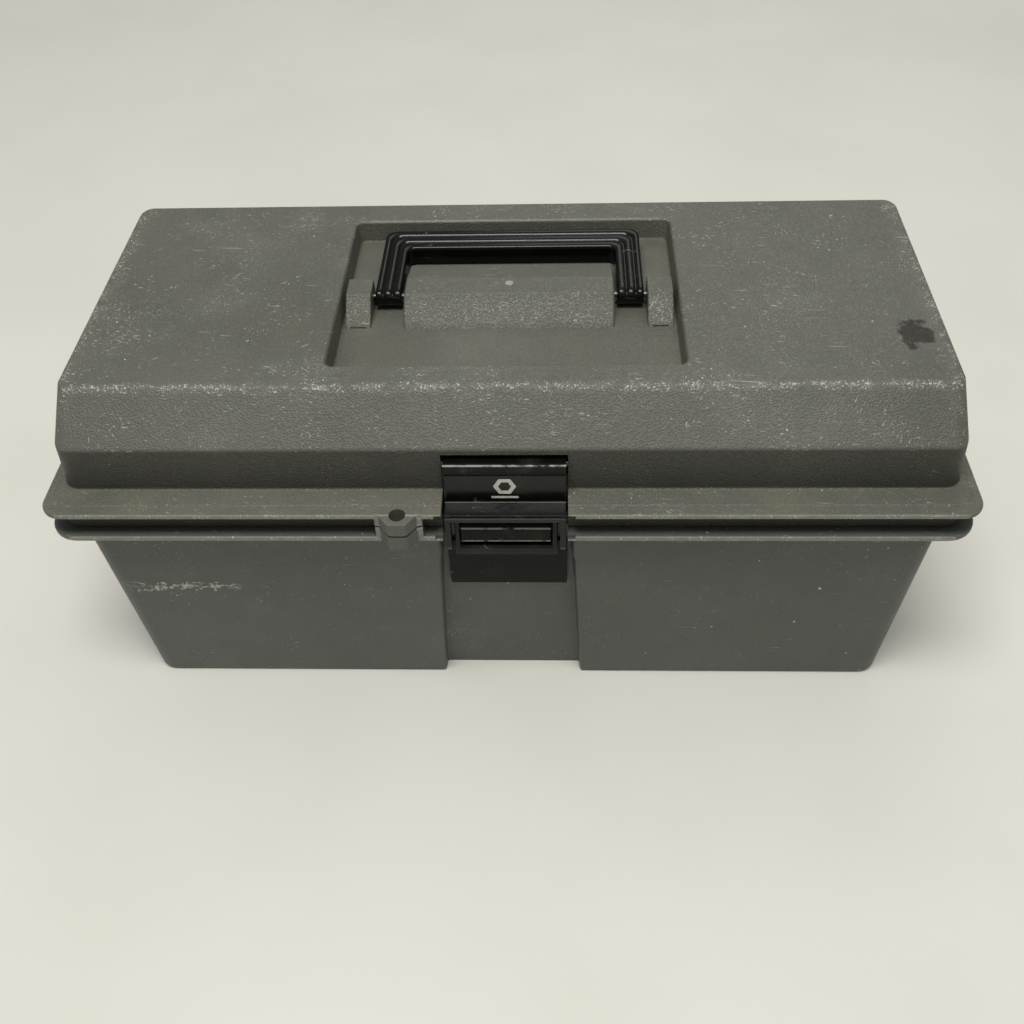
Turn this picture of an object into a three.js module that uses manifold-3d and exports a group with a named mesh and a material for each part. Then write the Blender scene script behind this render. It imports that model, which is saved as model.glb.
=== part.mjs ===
// Moulded tool box: tub, lid with a sunken swing handle, draw latch and lift-out tray.
// Millimetres. +X runs along the box, +Y to the hinge side, +Z up. The origin is under the
// middle of the box, on the surface that it stands on.

import * as THREE from 'three';
import { ConvexGeometry } from 'three/addons/geometries/ConvexGeometry.js';
import { mergeVertices } from 'three/addons/utils/BufferGeometryUtils.js';
import Module from 'manifold-3d';

const wasm = await Module();
wasm.setup();

// ---- Driving dimensions -------------------------------------------------------------------

// Overall envelope: both flanges share one plan size.
const BOX_HEIGHT = 184.7;
const FLANGE_HALF_X = 228.5;
const FLANGE_HALF_Y = 124.5;
const WALL = 3;
const CLEARANCE = 0.35;
const PAST = 20;

// Tub: tapers down from its flange to its base.
const TUB = {
  baseHalfX: 205, baseHalfY: 113.5, topHalfX: 214.6, topHalfY: 117,
  flangeLow: 120.3, flangeHigh: 123.3, flangeCorner: 15, corner: 10,
  baseEdge: 3.5, lipHigh: 131, lipThickness: 1.9, lipEndY: 96,
};

// Lid: flat top, sloping shoulder, nearly upright band, flange and a rim that sits on the tub.
const LID = {
  topHalfX: 218.1, topHalfY: 83.2, topEdge: 1.2,
  shoulderLow: 163.4, shoulderHalfX: 219.3, shoulderHalfY: 105.2,
  bandLow: 138.8, bandHalfX: 220.7, bandHalfY: 106.4,
  flangeThickness: 3.2, flangeCorner: 11, corner: 9,
  rimHalfX: 222, rimHalfY: 118, rimThickness: 2, rimLow: 124,
};

// Handle well sunk into the lid, with a block between the arms and an ear outside each arm.
const WELL = {
  halfX: 88.5, front: -67, back: 65.5, floor: 172.2, corner: 4, floorThickness: 2.5,
};
const BLOCK = { halfX: 55.3, frontFoot: -21, frontTop: -6.6, backTop: 8, backEdge: 30 };
const EAR = { inner: 72.6, outer: 85.9, back: 8, slotHeight: 0.9, slotDepth: 1.2 };

// Swing handle, lying back in the well at rest.
const HANDLE = {
  pivotY: 0.5, pivotZ: 178.4, armInner: 57, armOuter: 71, halfHeight: 5.25,
  gripFront: 39.5, gripBack: 58, outerCorner: 6, innerCorner: 4,
};
const HANDLE_PIN = { radius: 1.5, inner: 52.4, outer: 79.2 };

// Draw latch at the middle of the front: lever on the lid, bail on the lever, keeper on the tub.
const POCKET = { halfX: 30.7, floorY: -104.6, innerY: -101.6, sweep: 8.2, wallRadius: 10.7 };
const LEVER = {
  halfX: 29.7, armInner: 26.8, pinY: -102.6, pinZ: 152.5, barrel: 5, faceY: -111.4,
};
const LEVER_PIN = { radius: 1.5, halfLength: 35.4 };
const BAIL = {
  outer: 25.6, inner: 22.8, pivotY: -110.8, pivotZ: 130.5, eye: 2.9, stub: 1.6,
  stubOuter: 28.6, barY: -116.6, barLow: 104.4, barHigh: 111.2, barHalfY: 2.8,
};
const KEEPER = {
  plateHalfX: 30.5, neckHalfX: 22.2, low: 74, shoulder: 108, high: 122, thickness: 2.2,
};
const KEEPER_SCREW = { x: 13, z: 92, shank: 1.6, head: 3.4, headDepth: 2 };

// Channel down the front of the tub, behind the latch.
const CHANNEL = {
  topHalfX: 32.5, shoulderZ: 98, baseHalfX: 37.6, topFloorY: -110, baseFloorY: -105.8,
  slotLow: 118, slotBackY: -109,
};

// Padlock eye: one ear on each flange, left of the latch.
const EYE = {
  x: -51.6, holeRadius: 4.1, baseHalfX: 9.7, tipHalfX: 3.3, tipY: -131.6,
  lidLow: 131, tubHigh: 130.2, tubLow: 121.5, backY: -118.5,
};

// Three hinge stations along the back.
const HINGE = {
  y: 127.4, z: 129.5, radius: 4.2, stations: [-150, 0, 150], names: ['left', 'middle', 'right'],
  tubHalf: 8, gap: 0.4, lidLength: 10, pinRadius: 1.5,
};

// Lift-out tray on two end ledges.
const TRAY = {
  low: 80, high: 121, topHalfX: 207.5, topHalfY: 100, lowHalfX: 204, lowHalfY: 97,
  wall: 2.2, spineHalfY: 1.5, gripHalfX: 58, gripHigh: 143, gripHalfY: 6, gripDepth: 9,
  holeHalfX: 44, holeLow: 111, postHalfY: 3.4, forkLow: 103,
};
const LEDGE = { innerX: 196, halfY: 42, high: 79.6, depth: 7 };
const DIVIDER = {
  thickness: 2.4, low: 82.7, high: 117.5, ribDepth: 1.6, ribWidth: 1.8,
  places: [[-88, -1], [88, -1], [-104, 1], [104, 1]],
};

// ---- Materials ----------------------------------------------------------------------------

const FINISH = {
  greyTub: { color: 0x555a4f, roughness: 0.55, metalness: 0 },
  greyLid: { color: 0x68685f, roughness: 0.5, metalness: 0 },
  blackGloss: { color: 0x1c1e1b, roughness: 0.25, metalness: 0 },
  blackSatin: { color: 0x232522, roughness: 0.35, metalness: 0 },
  steel: { color: 0xa8aaa8, roughness: 0.35, metalness: 1 },
  trayGrey: { color: 0x74766e, roughness: 0.55, metalness: 0 },
};

// ---- Solid helpers ------------------------------------------------------------------------

/** Turns a closed three.js geometry into a solid that can be joined and cut. */
function solid(geometry) {
  const bare = geometry.clone();
  bare.deleteAttribute('normal');
  bare.deleteAttribute('uv');
  const merged = mergeVertices(bare, 1e-4);
  return new wasm.Manifold(new wasm.Mesh({
    numProp: 3,
    vertProperties: new Float32Array(merged.attributes.position.array),
    triVerts: new Uint32Array(merged.index.array),
  }));
}

/** Joins any number of solids. */
function join(...solids) {
  return solids.reduce((sum, next) => sum.add(next));
}

/** Cuts every later solid from the first one. */
function cut(first, ...tools) {
  return tools.reduce((rest, tool) => rest.subtract(tool), first);
}

/** A box between two corners. */
function block(low, high) {
  const size = high.map((value, i) => value - low[i]);
  const middle = high.map((value, i) => (value + low[i]) / 2);
  const geometry = new THREE.BoxGeometry(...size);
  geometry.translate(...middle);
  return solid(geometry);
}

/** A rod along X through (y, z). */
function rodX(radius, x0, x1, y, z, sides = 24) {
  const geometry = new THREE.CylinderGeometry(radius, radius, x1 - x0, sides);
  geometry.rotateZ(Math.PI / 2);
  geometry.translate((x0 + x1) / 2, y, z);
  return solid(geometry);
}

/** Points of a rounded rectangle at height z. */
function ring(halfX, halfY, radius, z, steps = 5) {
  const points = [];
  for (let corner = 0; corner < 4; corner += 1) {
    const cx = (corner === 0 || corner === 3 ? 1 : -1) * (halfX - radius);
    const cy = (corner < 2 ? 1 : -1) * (halfY - radius);
    for (let i = 0; i <= steps; i += 1) {
      const angle = (corner + i / steps) * Math.PI / 2;
      points.push(new THREE.Vector3(cx + radius * Math.cos(angle), cy + radius * Math.sin(angle), z));
    }
  }
  return points;
}

/** The convex solid that wraps the given rings or points. */
function wrap(...rings) {
  return solid(new ConvexGeometry(rings.flat()));
}

/** Extrudes a (y, z) outline along X. */
function prismX(outline, x0, x1) {
  const shape = outline instanceof THREE.Shape ? outline : polygon(outline);
  const geometry = new THREE.ExtrudeGeometry(shape, {
    depth: x1 - x0, bevelEnabled: false, curveSegments: 8,
  });
  geometry.applyMatrix4(new THREE.Matrix4().makeBasis(
    new THREE.Vector3(0, 1, 0), new THREE.Vector3(0, 0, 1), new THREE.Vector3(1, 0, 0),
  ));
  geometry.translate(x0, 0, 0);
  return solid(geometry);
}

/** Extrudes an (x, y) outline up Z. */
function prismZ(outline, z0, z1) {
  const shape = outline instanceof THREE.Shape ? outline : polygon(outline);
  const geometry = new THREE.ExtrudeGeometry(shape, {
    depth: z1 - z0, bevelEnabled: false, curveSegments: 6,
  });
  geometry.translate(0, 0, z0);
  return solid(geometry);
}

/** A closed outline through the given points. */
function polygon(points) {
  return new THREE.Shape(points.map(([u, v]) => new THREE.Vector2(u, v)));
}

/** The same prism on the left and the right of the box. */
function bothSides(outline, inner, outer) {
  return join(prismX(outline, inner, outer), prismX(outline, -outer, -inner));
}

/** Points around a circle in the YZ plane at a given x. */
function discPoints(x, y, z, radius, steps = 20) {
  return Array.from({ length: steps }, (_, i) => {
    const angle = i / steps * 2 * Math.PI;
    return new THREE.Vector3(x, y + radius * Math.cos(angle), z + radius * Math.sin(angle));
  });
}

/** A value between the tub's base and its flange at height z. */
function tubSize(atBase, atTop, z) {
  return atBase + (atTop - atBase) * z / TUB.flangeLow;
}

/** Y of the channel floor at height z. */
function channelFloor(z) {
  return tubSize(CHANNEL.baseFloorY, CHANNEL.topFloorY, z);
}

/** Wraps a finished solid as a named mesh with its own material. */
function mesh(name, shape, finish) {
  const data = shape.getMesh();
  const geometry = new THREE.BufferGeometry();
  const positions = new Float32Array(data.vertProperties);
  geometry.setAttribute('position', new THREE.BufferAttribute(positions, 3));
  geometry.setIndex(new THREE.BufferAttribute(new Uint32Array(data.triVerts), 1));
  geometry.computeVertexNormals();
  const result = new THREE.Mesh(geometry, new THREE.MeshStandardMaterial(FINISH[finish]));
  result.name = name;
  return result;
}

// ---- Tub ----------------------------------------------------------------------------------

/** A flange plate with slightly broken edges. */
function flange(corner, low, high) {
  const edge = 0.7;
  return wrap(
    ring(FLANGE_HALF_X - edge, FLANGE_HALF_Y - edge, corner - edge, low),
    ring(FLANGE_HALF_X, FLANGE_HALF_Y, corner, low + edge),
    ring(FLANGE_HALF_X, FLANGE_HALF_Y, corner, high - edge),
    ring(FLANGE_HALF_X - edge, FLANGE_HALF_Y - edge, corner - edge, high),
  );
}

/** One ear of the padlock eye, without its hole. */
function eyeEar(low, high) {
  const outline = new THREE.Shape();
  outline.moveTo(EYE.x - EYE.baseHalfX, EYE.backY);
  outline.lineTo(EYE.x + EYE.baseHalfX, EYE.backY);
  outline.lineTo(EYE.x + EYE.baseHalfX, -FLANGE_HALF_Y);
  outline.quadraticCurveTo(EYE.x + EYE.tipHalfX + 2, EYE.tipY, EYE.x + EYE.tipHalfX, EYE.tipY);
  outline.lineTo(EYE.x - EYE.tipHalfX, EYE.tipY);
  outline.quadraticCurveTo(
    EYE.x - EYE.tipHalfX - 2, EYE.tipY, EYE.x - EYE.baseHalfX, -FLANGE_HALF_Y,
  );
  outline.closePath();
  return prismZ(outline, low, high);
}

/** The padlock hole through both ears. */
function eyeHole() {
  const geometry = new THREE.CylinderGeometry(EYE.holeRadius, EYE.holeRadius, 60, 24);
  geometry.rotateX(Math.PI / 2);
  geometry.translate(EYE.x, -FLANGE_HALF_Y, (EYE.tubHigh + EYE.lidLow) / 2);
  return solid(geometry);
}

/** A hinge knuckle and the web that carries it, between two x positions. */
function knuckle(x0, x1, webY0, webY1, webZ0, webZ1) {
  const corners = [[webY0, webZ0], [webY1, webZ0], [webY0, webZ1], [webY1, webZ1]];
  const web = [x0, x1].flatMap((x) => corners.map(([y, z]) => new THREE.Vector3(x, y, z)));
  return wrap(
    discPoints(x0, HINGE.y, HINGE.z, HINGE.radius),
    discPoints(x1, HINGE.y, HINGE.z, HINGE.radius),
    web,
  );
}

/** The hole for every hinge pin, right through the stations. */
function hingeHoles() {
  const half = HINGE.tubHalf + HINGE.gap + HINGE.lidLength + 1;
  return join(...HINGE.stations.map((x) => rodX(
    HINGE.pinRadius + CLEARANCE, x - half, x + half, HINGE.y, HINGE.z,
  )));
}

/** Front channel as a tool to cut away, or as the lining behind it when thickened. */
function channelTool(grow, backShift, top) {
  const front = -FLANGE_HALF_Y - PAST;
  const stops = [[0, CHANNEL.baseHalfX], [CHANNEL.shoulderZ, CHANNEL.topHalfX + 0.8],
    [CHANNEL.shoulderZ + 2, CHANNEL.topHalfX], [top, CHANNEL.topHalfX]];
  const points = stops.flatMap(([z, half]) => {
    const height = z === 0 ? -PAST : z;
    const back = channelFloor(z) + backShift;
    return [-1, 1].flatMap((side) => [
      new THREE.Vector3(side * (half + grow + 2.5), front, height),
      new THREE.Vector3(side * (half + grow), back, height),
    ]);
  });
  return wrap(points);
}

function tub() {
  const outer = wrap(
    ring(TUB.baseHalfX - 2.4, TUB.baseHalfY - 2.4, TUB.corner - 2.4, 0),
    ring(TUB.baseHalfX - 0.7, TUB.baseHalfY - 0.7, TUB.corner - 0.7, 1),
    ring(TUB.baseHalfX + 0.2, TUB.baseHalfY, TUB.corner, TUB.baseEdge),
    ring(TUB.topHalfX, TUB.topHalfY, TUB.corner, TUB.flangeLow + 1),
  );
  const inset = WALL + 0.5;
  const topX = TUB.topHalfX - inset;
  const topY = TUB.topHalfY - inset;
  const hollow = wrap(
    ring(TUB.baseHalfX - inset - 2, TUB.baseHalfY - inset - 2, TUB.corner - 4, WALL),
    ring(TUB.baseHalfX - inset, TUB.baseHalfY - inset, TUB.corner - 2, WALL + 3),
    ring(topX, topY, TUB.corner - 2, TUB.flangeLow),
    ring(topX, topY, TUB.corner - 2, TUB.lipHigh + PAST),
  );
  const lipX = topX + TUB.lipThickness;
  const lipY = topY + TUB.lipThickness;
  const lip = cut(
    wrap(ring(lipX, lipY, TUB.corner, TUB.flangeLow), ring(lipX, lipY, TUB.corner, TUB.lipHigh)),
    block([-PAST * 20, TUB.lipEndY, TUB.flangeHigh], [PAST * 20, PAST * 10, TUB.lipHigh + 1]),
    block([-37, -PAST * 10, TUB.flangeHigh], [37, 0, TUB.lipHigh + 1]),
  );
  const lining = channelTool(3, WALL + 0.5, TUB.flangeHigh).intersect(outer);
  const shell = join(outer, flange(TUB.flangeCorner, TUB.flangeLow, TUB.flangeHigh), lip);
  const cavity = cut(hollow, lining);
  const flangeSlot = block(
    [-POCKET.halfX, -PAST * 10, CHANNEL.slotLow], [POCKET.halfX, CHANNEL.slotBackY, BOX_HEIGHT],
  );
  const knuckles = join(...HINGE.stations.map((x) => knuckle(
    x - HINGE.tubHalf, x + HINGE.tubHalf, 121, 125.5, TUB.flangeLow, TUB.flangeHigh,
  )));
  return cut(
    join(cut(shell, cavity), eyeEar(EYE.tubLow, EYE.tubHigh), knuckles, ledges()),
    channelTool(0, 0, TUB.flangeLow - 2),
    flangeSlot,
    eyeHole(),
    hingeHoles(),
    keeperScrewHoles(),
  );
}

/** A ledge inside each end of the tub that carries the tray. */
function ledges() {
  const makeLedge = (side) => wrap([-1, 1].flatMap((end) => {
    const y = end * LEDGE.halfY;
    const wallHigh = tubSize(TUB.baseHalfX, TUB.topHalfX, LEDGE.high) - 1.5;
    const low = LEDGE.high - LEDGE.depth;
    return [
      new THREE.Vector3(side * LEDGE.innerX, y, LEDGE.high),
      new THREE.Vector3(side * wallHigh, y, LEDGE.high),
      new THREE.Vector3(side * LEDGE.innerX, y, LEDGE.high - 2.5),
      new THREE.Vector3(side * (wallHigh - 1), y, low),
    ];
  }));
  return join(makeLedge(1), makeLedge(-1));
}

/** Clearance holes for the two screws that hold the keeper. */
function keeperScrewHoles() {
  return join(...[-1, 1].map((side) => rodY(
    KEEPER_SCREW.shank + CLEARANCE, -112, -96, side * KEEPER_SCREW.x, KEEPER_SCREW.z,
  )));
}

/** A rod along Y through (x, z). */
function rodY(radius, y0, y1, x, z, sides = 20) {
  const geometry = new THREE.CylinderGeometry(radius, radius, y1 - y0, sides);
  geometry.translate(x, (y0 + y1) / 2, 0);
  geometry.translate(0, 0, z);
  return solid(geometry);
}

// ---- Lid ----------------------------------------------------------------------------------

/** Outline of the block and of the ears, seen from the end of the box. */
function blockOutline() {
  const drop = 6;
  return [
    [BLOCK.frontFoot, WELL.floor - 1], [BLOCK.frontTop, BOX_HEIGHT], [BLOCK.backTop, BOX_HEIGHT],
    [BLOCK.backEdge, BOX_HEIGHT - drop], [BLOCK.backEdge + 1, WELL.floor - 1],
  ];
}

function earOutline() {
  return [
    [BLOCK.frontFoot, WELL.floor - 1], [BLOCK.frontTop, BOX_HEIGHT],
    [EAR.back, BOX_HEIGHT], [EAR.back, WELL.floor - 1],
  ];
}

/** The hollow inside the block, open to the inside of the lid. */
function blockHollow() {
  const outline = [[-15, 160], [-15, 173], [-5.4, 181.4], [7, 181.4], [26.5, 176], [26.5, 160]];
  return prismX(outline, -46, 46);
}

/** The well's shape, or its outside when grown by a wall. */
function wellTool(grow, low, high) {
  const half = WELL.halfX + grow;
  const halfY = (WELL.back - WELL.front) / 2 + grow;
  const middle = (WELL.back + WELL.front) / 2;
  const draft = 0.8;
  const shape = wrap(
    ring(half - draft, halfY - draft, WELL.corner + grow, low),
    ring(half, halfY, WELL.corner + grow, high),
  );
  return shape.translate([0, middle, 0]);
}

/** The wall that backs the latch pocket, and the cheeks that tie it to the rim. */
function pocketBacking() {
  const half = 38;
  const barrelWall = rodX(POCKET.wallRadius, -half, half, LEVER.pinY, LEVER.pinZ, 32);
  const wall = block([-half, -118, 138], [half, POCKET.innerY, 150]);
  const cheeks = block([-34, -117.5, LID.rimLow], [34, POCKET.innerY, 139]);
  return { upper: join(barrelWall, wall), lower: cheeks };
}

/** Everything that makes room for the latch. */
function pocketTool() {
  const low = 100;
  return join(
    block([-POCKET.halfX, -PAST * 10, low], [POCKET.halfX, POCKET.floorY, LEVER.pinZ]),
    rodX(POCKET.sweep, -POCKET.halfX, POCKET.halfX, LEVER.pinY, LEVER.pinZ, 32),
    block(
      [-POCKET.halfX - 1.8, -PAST * 10, low],
      [POCKET.halfX + 1.8, -LID.rimHalfY - 2.5, LID.bandLow - LID.flangeThickness + 1.4],
    ),
  );
}

function lid() {
  const flangeLow = LID.bandLow - LID.flangeThickness;
  const outer = wrap(
    ring(LID.topHalfX - 1.5, LID.topHalfY - 2.6, 6, BOX_HEIGHT),
    ring(LID.topHalfX - 0.4, LID.topHalfY - 1, 7, BOX_HEIGHT - 0.45),
    ring(LID.topHalfX, LID.topHalfY, 7, BOX_HEIGHT - LID.topEdge),
    ring(LID.shoulderHalfX, LID.shoulderHalfY, 8, LID.shoulderLow),
    ring(LID.bandHalfX, LID.bandHalfY, LID.corner, LID.bandLow - 0.5),
  );
  const rim = wrap(
    ring(LID.rimHalfX, LID.rimHalfY, LID.corner, LID.rimLow),
    ring(LID.rimHalfX, LID.rimHalfY, LID.corner, flangeLow + 1),
  );
  const hollow = wrap(
    ring(LID.topHalfX - WALL, LID.topHalfY - WALL - 0.6, 5, BOX_HEIGHT - WALL),
    ring(LID.shoulderHalfX - WALL, LID.shoulderHalfY - WALL, 6, LID.shoulderLow - 1.2),
    ring(LID.bandHalfX - WALL, LID.bandHalfY - WALL, 7, LID.bandLow),
    ring(LID.bandHalfX - WALL, LID.bandHalfY - WALL, 7, LID.rimLow - PAST),
  );
  const rimHollow = wrap(
    ring(LID.rimHalfX - LID.rimThickness, LID.rimHalfY - LID.rimThickness, 7, LID.rimLow - PAST),
    ring(LID.rimHalfX - LID.rimThickness, LID.rimHalfY - LID.rimThickness, 7, flangeLow),
  );
  const backing = pocketBacking();
  const wellOutside = wellTool(2.5, WELL.floor - WELL.floorThickness, BOX_HEIGHT);
  const cavity = cut(join(hollow, rimHollow), wellOutside, backing.upper, backing.lower);
  const shell = cut(join(outer, flange(LID.flangeCorner, flangeLow, LID.bandLow), rim), cavity);
  const opened = cut(shell, wellTool(0, WELL.floor, BOX_HEIGHT + 1));
  const fittings = join(
    prismX(blockOutline(), -BLOCK.halfX, BLOCK.halfX),
    bothSides(earOutline(), EAR.inner, EAR.outer),
  );
  const knuckleSpan = HINGE.tubHalf + HINGE.gap;
  const knuckles = join(...HINGE.stations.flatMap((x) => [-1, 1].map((side) => {
    const near = x + side * knuckleSpan;
    const far = near + side * HINGE.lidLength;
    return knuckle(Math.min(near, far), Math.max(near, far), 119, 124, flangeLow, LID.bandLow);
  })));
  return cut(
    join(opened, fittings, knuckles, eyeEar(EYE.lidLow, LID.bandLow)),
    blockHollow(),
    earSlots(),
    pocketTool(),
    handlePinHoles(),
    rodX(LEVER_PIN.radius + CLEARANCE, -35.9, 35.9, LEVER.pinY, LEVER.pinZ),
    eyeHole(),
    hingeHoles(),
  );
}

/** A thin slot along the foot of each ear's front face. */
function earSlots() {
  const low = WELL.floor;
  const slots = [-1, 1].map((side) => {
    const middle = side * (EAR.inner + EAR.outer) / 2;
    return block(
      [middle - 4.2, BLOCK.frontFoot - 3, low + 0.05],
      [middle + 4.2, BLOCK.frontFoot + EAR.slotDepth + 1.5, low + EAR.slotHeight],
    );
  });
  return join(...slots);
}

/** Holes for the handle's two pivot pins. */
function handlePinHoles() {
  const radius = HANDLE_PIN.radius + CLEARANCE;
  const span = [HANDLE_PIN.inner - CLEARANCE, HANDLE_PIN.outer + CLEARANCE];
  return join(
    rodX(radius, span[0], span[1], HANDLE.pivotY, HANDLE.pivotZ),
    rodX(radius, -span[1], -span[0], HANDLE.pivotY, HANDLE.pivotZ),
  );
}

// ---- Handle -------------------------------------------------------------------------------

/** Plan outline of the handle: a wide U with rounded outer and inner corners. */
function handlePlan() {
  const { armInner: inner, armOuter: outer, gripFront, gripBack, outerCorner, innerCorner } = HANDLE;
  const front = HANDLE.pivotY - HANDLE.halfHeight - 1;
  const shape = new THREE.Shape();
  shape.moveTo(inner, front);
  shape.lineTo(outer, front);
  shape.lineTo(outer, gripBack - outerCorner);
  shape.absarc(outer - outerCorner, gripBack - outerCorner, outerCorner, 0, Math.PI / 2, false);
  shape.lineTo(-outer + outerCorner, gripBack);
  shape.absarc(
    -outer + outerCorner, gripBack - outerCorner, outerCorner, Math.PI / 2, Math.PI, false,
  );
  shape.lineTo(-outer, front);
  shape.lineTo(-inner, front);
  shape.lineTo(-inner, gripFront - innerCorner);
  shape.absarc(
    -inner + innerCorner, gripFront - innerCorner, innerCorner, Math.PI, Math.PI / 2, true,
  );
  shape.lineTo(inner - innerCorner, gripFront);
  shape.absarc(inner - innerCorner, gripFront - innerCorner, innerCorner, Math.PI / 2, 0, true);
  shape.closePath();
  return shape;
}

/** Side outline of the handle: round about the pivot, softly square at the grip. */
function handleSide() {
  const { pivotY, pivotZ, halfHeight, gripBack } = HANDLE;
  const soft = 3;
  const shape = new THREE.Shape();
  shape.absarc(pivotY, pivotZ, halfHeight, Math.PI / 2, 3 * Math.PI / 2, false);
  shape.lineTo(gripBack - soft, pivotZ - halfHeight);
  shape.absarc(gripBack - soft, pivotZ - halfHeight + soft, soft, -Math.PI / 2, 0, false);
  shape.lineTo(gripBack, pivotZ + halfHeight - soft);
  shape.absarc(gripBack - soft, pivotZ + halfHeight - soft, soft, 0, Math.PI / 2, false);
  shape.closePath();
  return shape;
}

function handle() {
  const plan = prismZ(handlePlan(), HANDLE.pivotZ - 10, HANDLE.pivotZ + 10);
  const side = prismX(handleSide(), -HANDLE.armOuter - 1, HANDLE.armOuter + 1);
  return cut(plan.intersect(side), handlePinHoles());
}

// ---- Latch --------------------------------------------------------------------------------

/** Lever outline: barrel over the pin, ridge, groove, flat face and the ledge below it. */
function leverOutline() {
  const { pinY, pinZ, barrel, faceY } = LEVER;
  const shape = new THREE.Shape();
  shape.moveTo(-108.8, 156.6);
  shape.absarc(pinY, pinZ, barrel, 2, -0.9, true);
  shape.lineTo(-104.2, 146.1);
  shape.lineTo(-107.6, 143.6);
  shape.lineTo(-107.6, 135);
  shape.lineTo(-109, 134);
  shape.lineTo(-118.6, 131.2);
  shape.lineTo(-119.2, 129.9);
  shape.lineTo(-121.2, 129.9);
  shape.lineTo(-121.4, 133);
  shape.lineTo(faceY, 134.9);
  shape.lineTo(faceY, 152.1);
  shape.lineTo(faceY + 0.7, 152.6);
  shape.lineTo(faceY - 0.2, 153.2);
  shape.lineTo(faceY, 154);
  shape.closePath();
  return shape;
}

/** Side arm of the lever: carries the bail's pivot and ends in a rounded finger. */
function armOutline() {
  const shape = new THREE.Shape();
  shape.moveTo(-107.6, 136);
  shape.lineTo(-107.6, 128.6);
  shape.lineTo(-110.4, 126.9);
  shape.lineTo(-115.6, 125.6);
  shape.lineTo(-116.1, 112.4);
  shape.absarc(-118.7, 112.4, 2.6, 0, -Math.PI, true);
  shape.lineTo(-121.4, 132.8);
  shape.lineTo(-112, 134.5);
  shape.closePath();
  return shape;
}

function latchLever() {
  return cut(
    join(
      prismX(leverOutline(), -LEVER.halfX, LEVER.halfX),
      bothSides(armOutline(), LEVER.armInner, LEVER.halfX),
    ),
    rodX(LEVER_PIN.radius + CLEARANCE, -40, 40, LEVER.pinY, LEVER.pinZ),
    rodX(BAIL.stub + CLEARANCE, 25, BAIL.stubOuter + CLEARANCE, BAIL.pivotY, BAIL.pivotZ),
    rodX(BAIL.stub + CLEARANCE, -BAIL.stubOuter - CLEARANCE, -25, BAIL.pivotY, BAIL.pivotZ),
    rodX(BAIL.eye + 0.6, -BAIL.outer - 0.9, -21.5, BAIL.pivotY, BAIL.pivotZ),
    rodX(BAIL.eye + 0.6, 21.5, BAIL.outer + 0.9, BAIL.pivotY, BAIL.pivotZ),
  );
}

/** Bail: a U that swings on two stubs inside the lever's arms and hooks under the nose. */
function latchBail() {
  const edge = 0.9;
  const barCorners = [
    [BAIL.barY - BAIL.barHalfY, BAIL.barLow + edge], [BAIL.barY - BAIL.barHalfY, BAIL.barHigh - edge],
    [BAIL.barY - BAIL.barHalfY + edge, BAIL.barLow], [BAIL.barY - BAIL.barHalfY + edge, BAIL.barHigh],
    [BAIL.barY + BAIL.barHalfY, BAIL.barLow], [BAIL.barY + BAIL.barHalfY, BAIL.barHigh],
  ];
  const barAt = (x) => barCorners.map(([y, z]) => new THREE.Vector3(x, y, z));
  const side = (inner, outer) => wrap(
    discPoints(inner, BAIL.pivotY, BAIL.pivotZ, BAIL.eye),
    discPoints(outer, BAIL.pivotY, BAIL.pivotZ, BAIL.eye),
    barAt(inner),
    barAt(outer),
  );
  return join(
    side(BAIL.inner, BAIL.outer),
    side(-BAIL.outer, -BAIL.inner),
    wrap(barAt(-BAIL.outer), barAt(BAIL.outer)),
    rodX(BAIL.stub, BAIL.inner, BAIL.stubOuter, BAIL.pivotY, BAIL.pivotZ),
    rodX(BAIL.stub, -BAIL.stubOuter, -BAIL.inner, BAIL.pivotY, BAIL.pivotZ),
  );
}

/** Keeper: a plate on the channel floor with the nose that the bail hooks under. */
function keeper() {
  const back = (z) => channelFloor(z) - CLEARANCE;
  const plate = (low, high, half) => prismX([
    [back(low), low], [back(high), high],
    [back(high) - KEEPER.thickness, high], [back(low) - KEEPER.thickness, low],
  ], -half, half);
  const nose = new THREE.Shape();
  nose.moveTo(-110.6, 112.2);
  nose.lineTo(-110.6, 127);
  nose.lineTo(-111.6, 128.4);
  nose.lineTo(-112.6, 128.4);
  nose.lineTo(-117.6, 124.6);
  nose.lineTo(-118.9, 123.4);
  nose.lineTo(-119.4, 114.9);
  nose.lineTo(-113, 112.2);
  nose.closePath();
  const shape = join(
    plate(KEEPER.low, KEEPER.shoulder, KEEPER.plateHalfX),
    plate(KEEPER.shoulder - 0.5, KEEPER.high, KEEPER.neckHalfX),
    prismX(nose, -KEEPER.neckHalfX, KEEPER.neckHalfX),
  );
  return cut(shape, ...[-1, 1].map((side) => rodY(
    KEEPER_SCREW.shank + CLEARANCE, -110.6, -96, side * KEEPER_SCREW.x, KEEPER_SCREW.z,
  )));
}

/** A screw driven from inside the tub into the back of the keeper. */
function keeperScrew(side) {
  const wallInside = channelFloor(KEEPER_SCREW.z) + WALL + 0.5;
  const headLow = wallInside + CLEARANCE;
  const x = side * KEEPER_SCREW.x;
  const driver = rodY(1.3, headLow + KEEPER_SCREW.headDepth - 0.9, headLow + 5, x, KEEPER_SCREW.z, 6);
  return cut(
    join(
      rodY(KEEPER_SCREW.shank, -110.2, headLow + 0.5, x, KEEPER_SCREW.z),
      rodY(KEEPER_SCREW.head, headLow, headLow + KEEPER_SCREW.headDepth, x, KEEPER_SCREW.z),
    ),
    driver,
  );
}

// ---- Tray ---------------------------------------------------------------------------------

/** Half size of the tray's inside at height z. */
function trayInside(atLow, atHigh, z) {
  return atLow + (atHigh - atLow) * (z - TRAY.low) / (TRAY.high - TRAY.low) - TRAY.wall;
}

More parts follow.
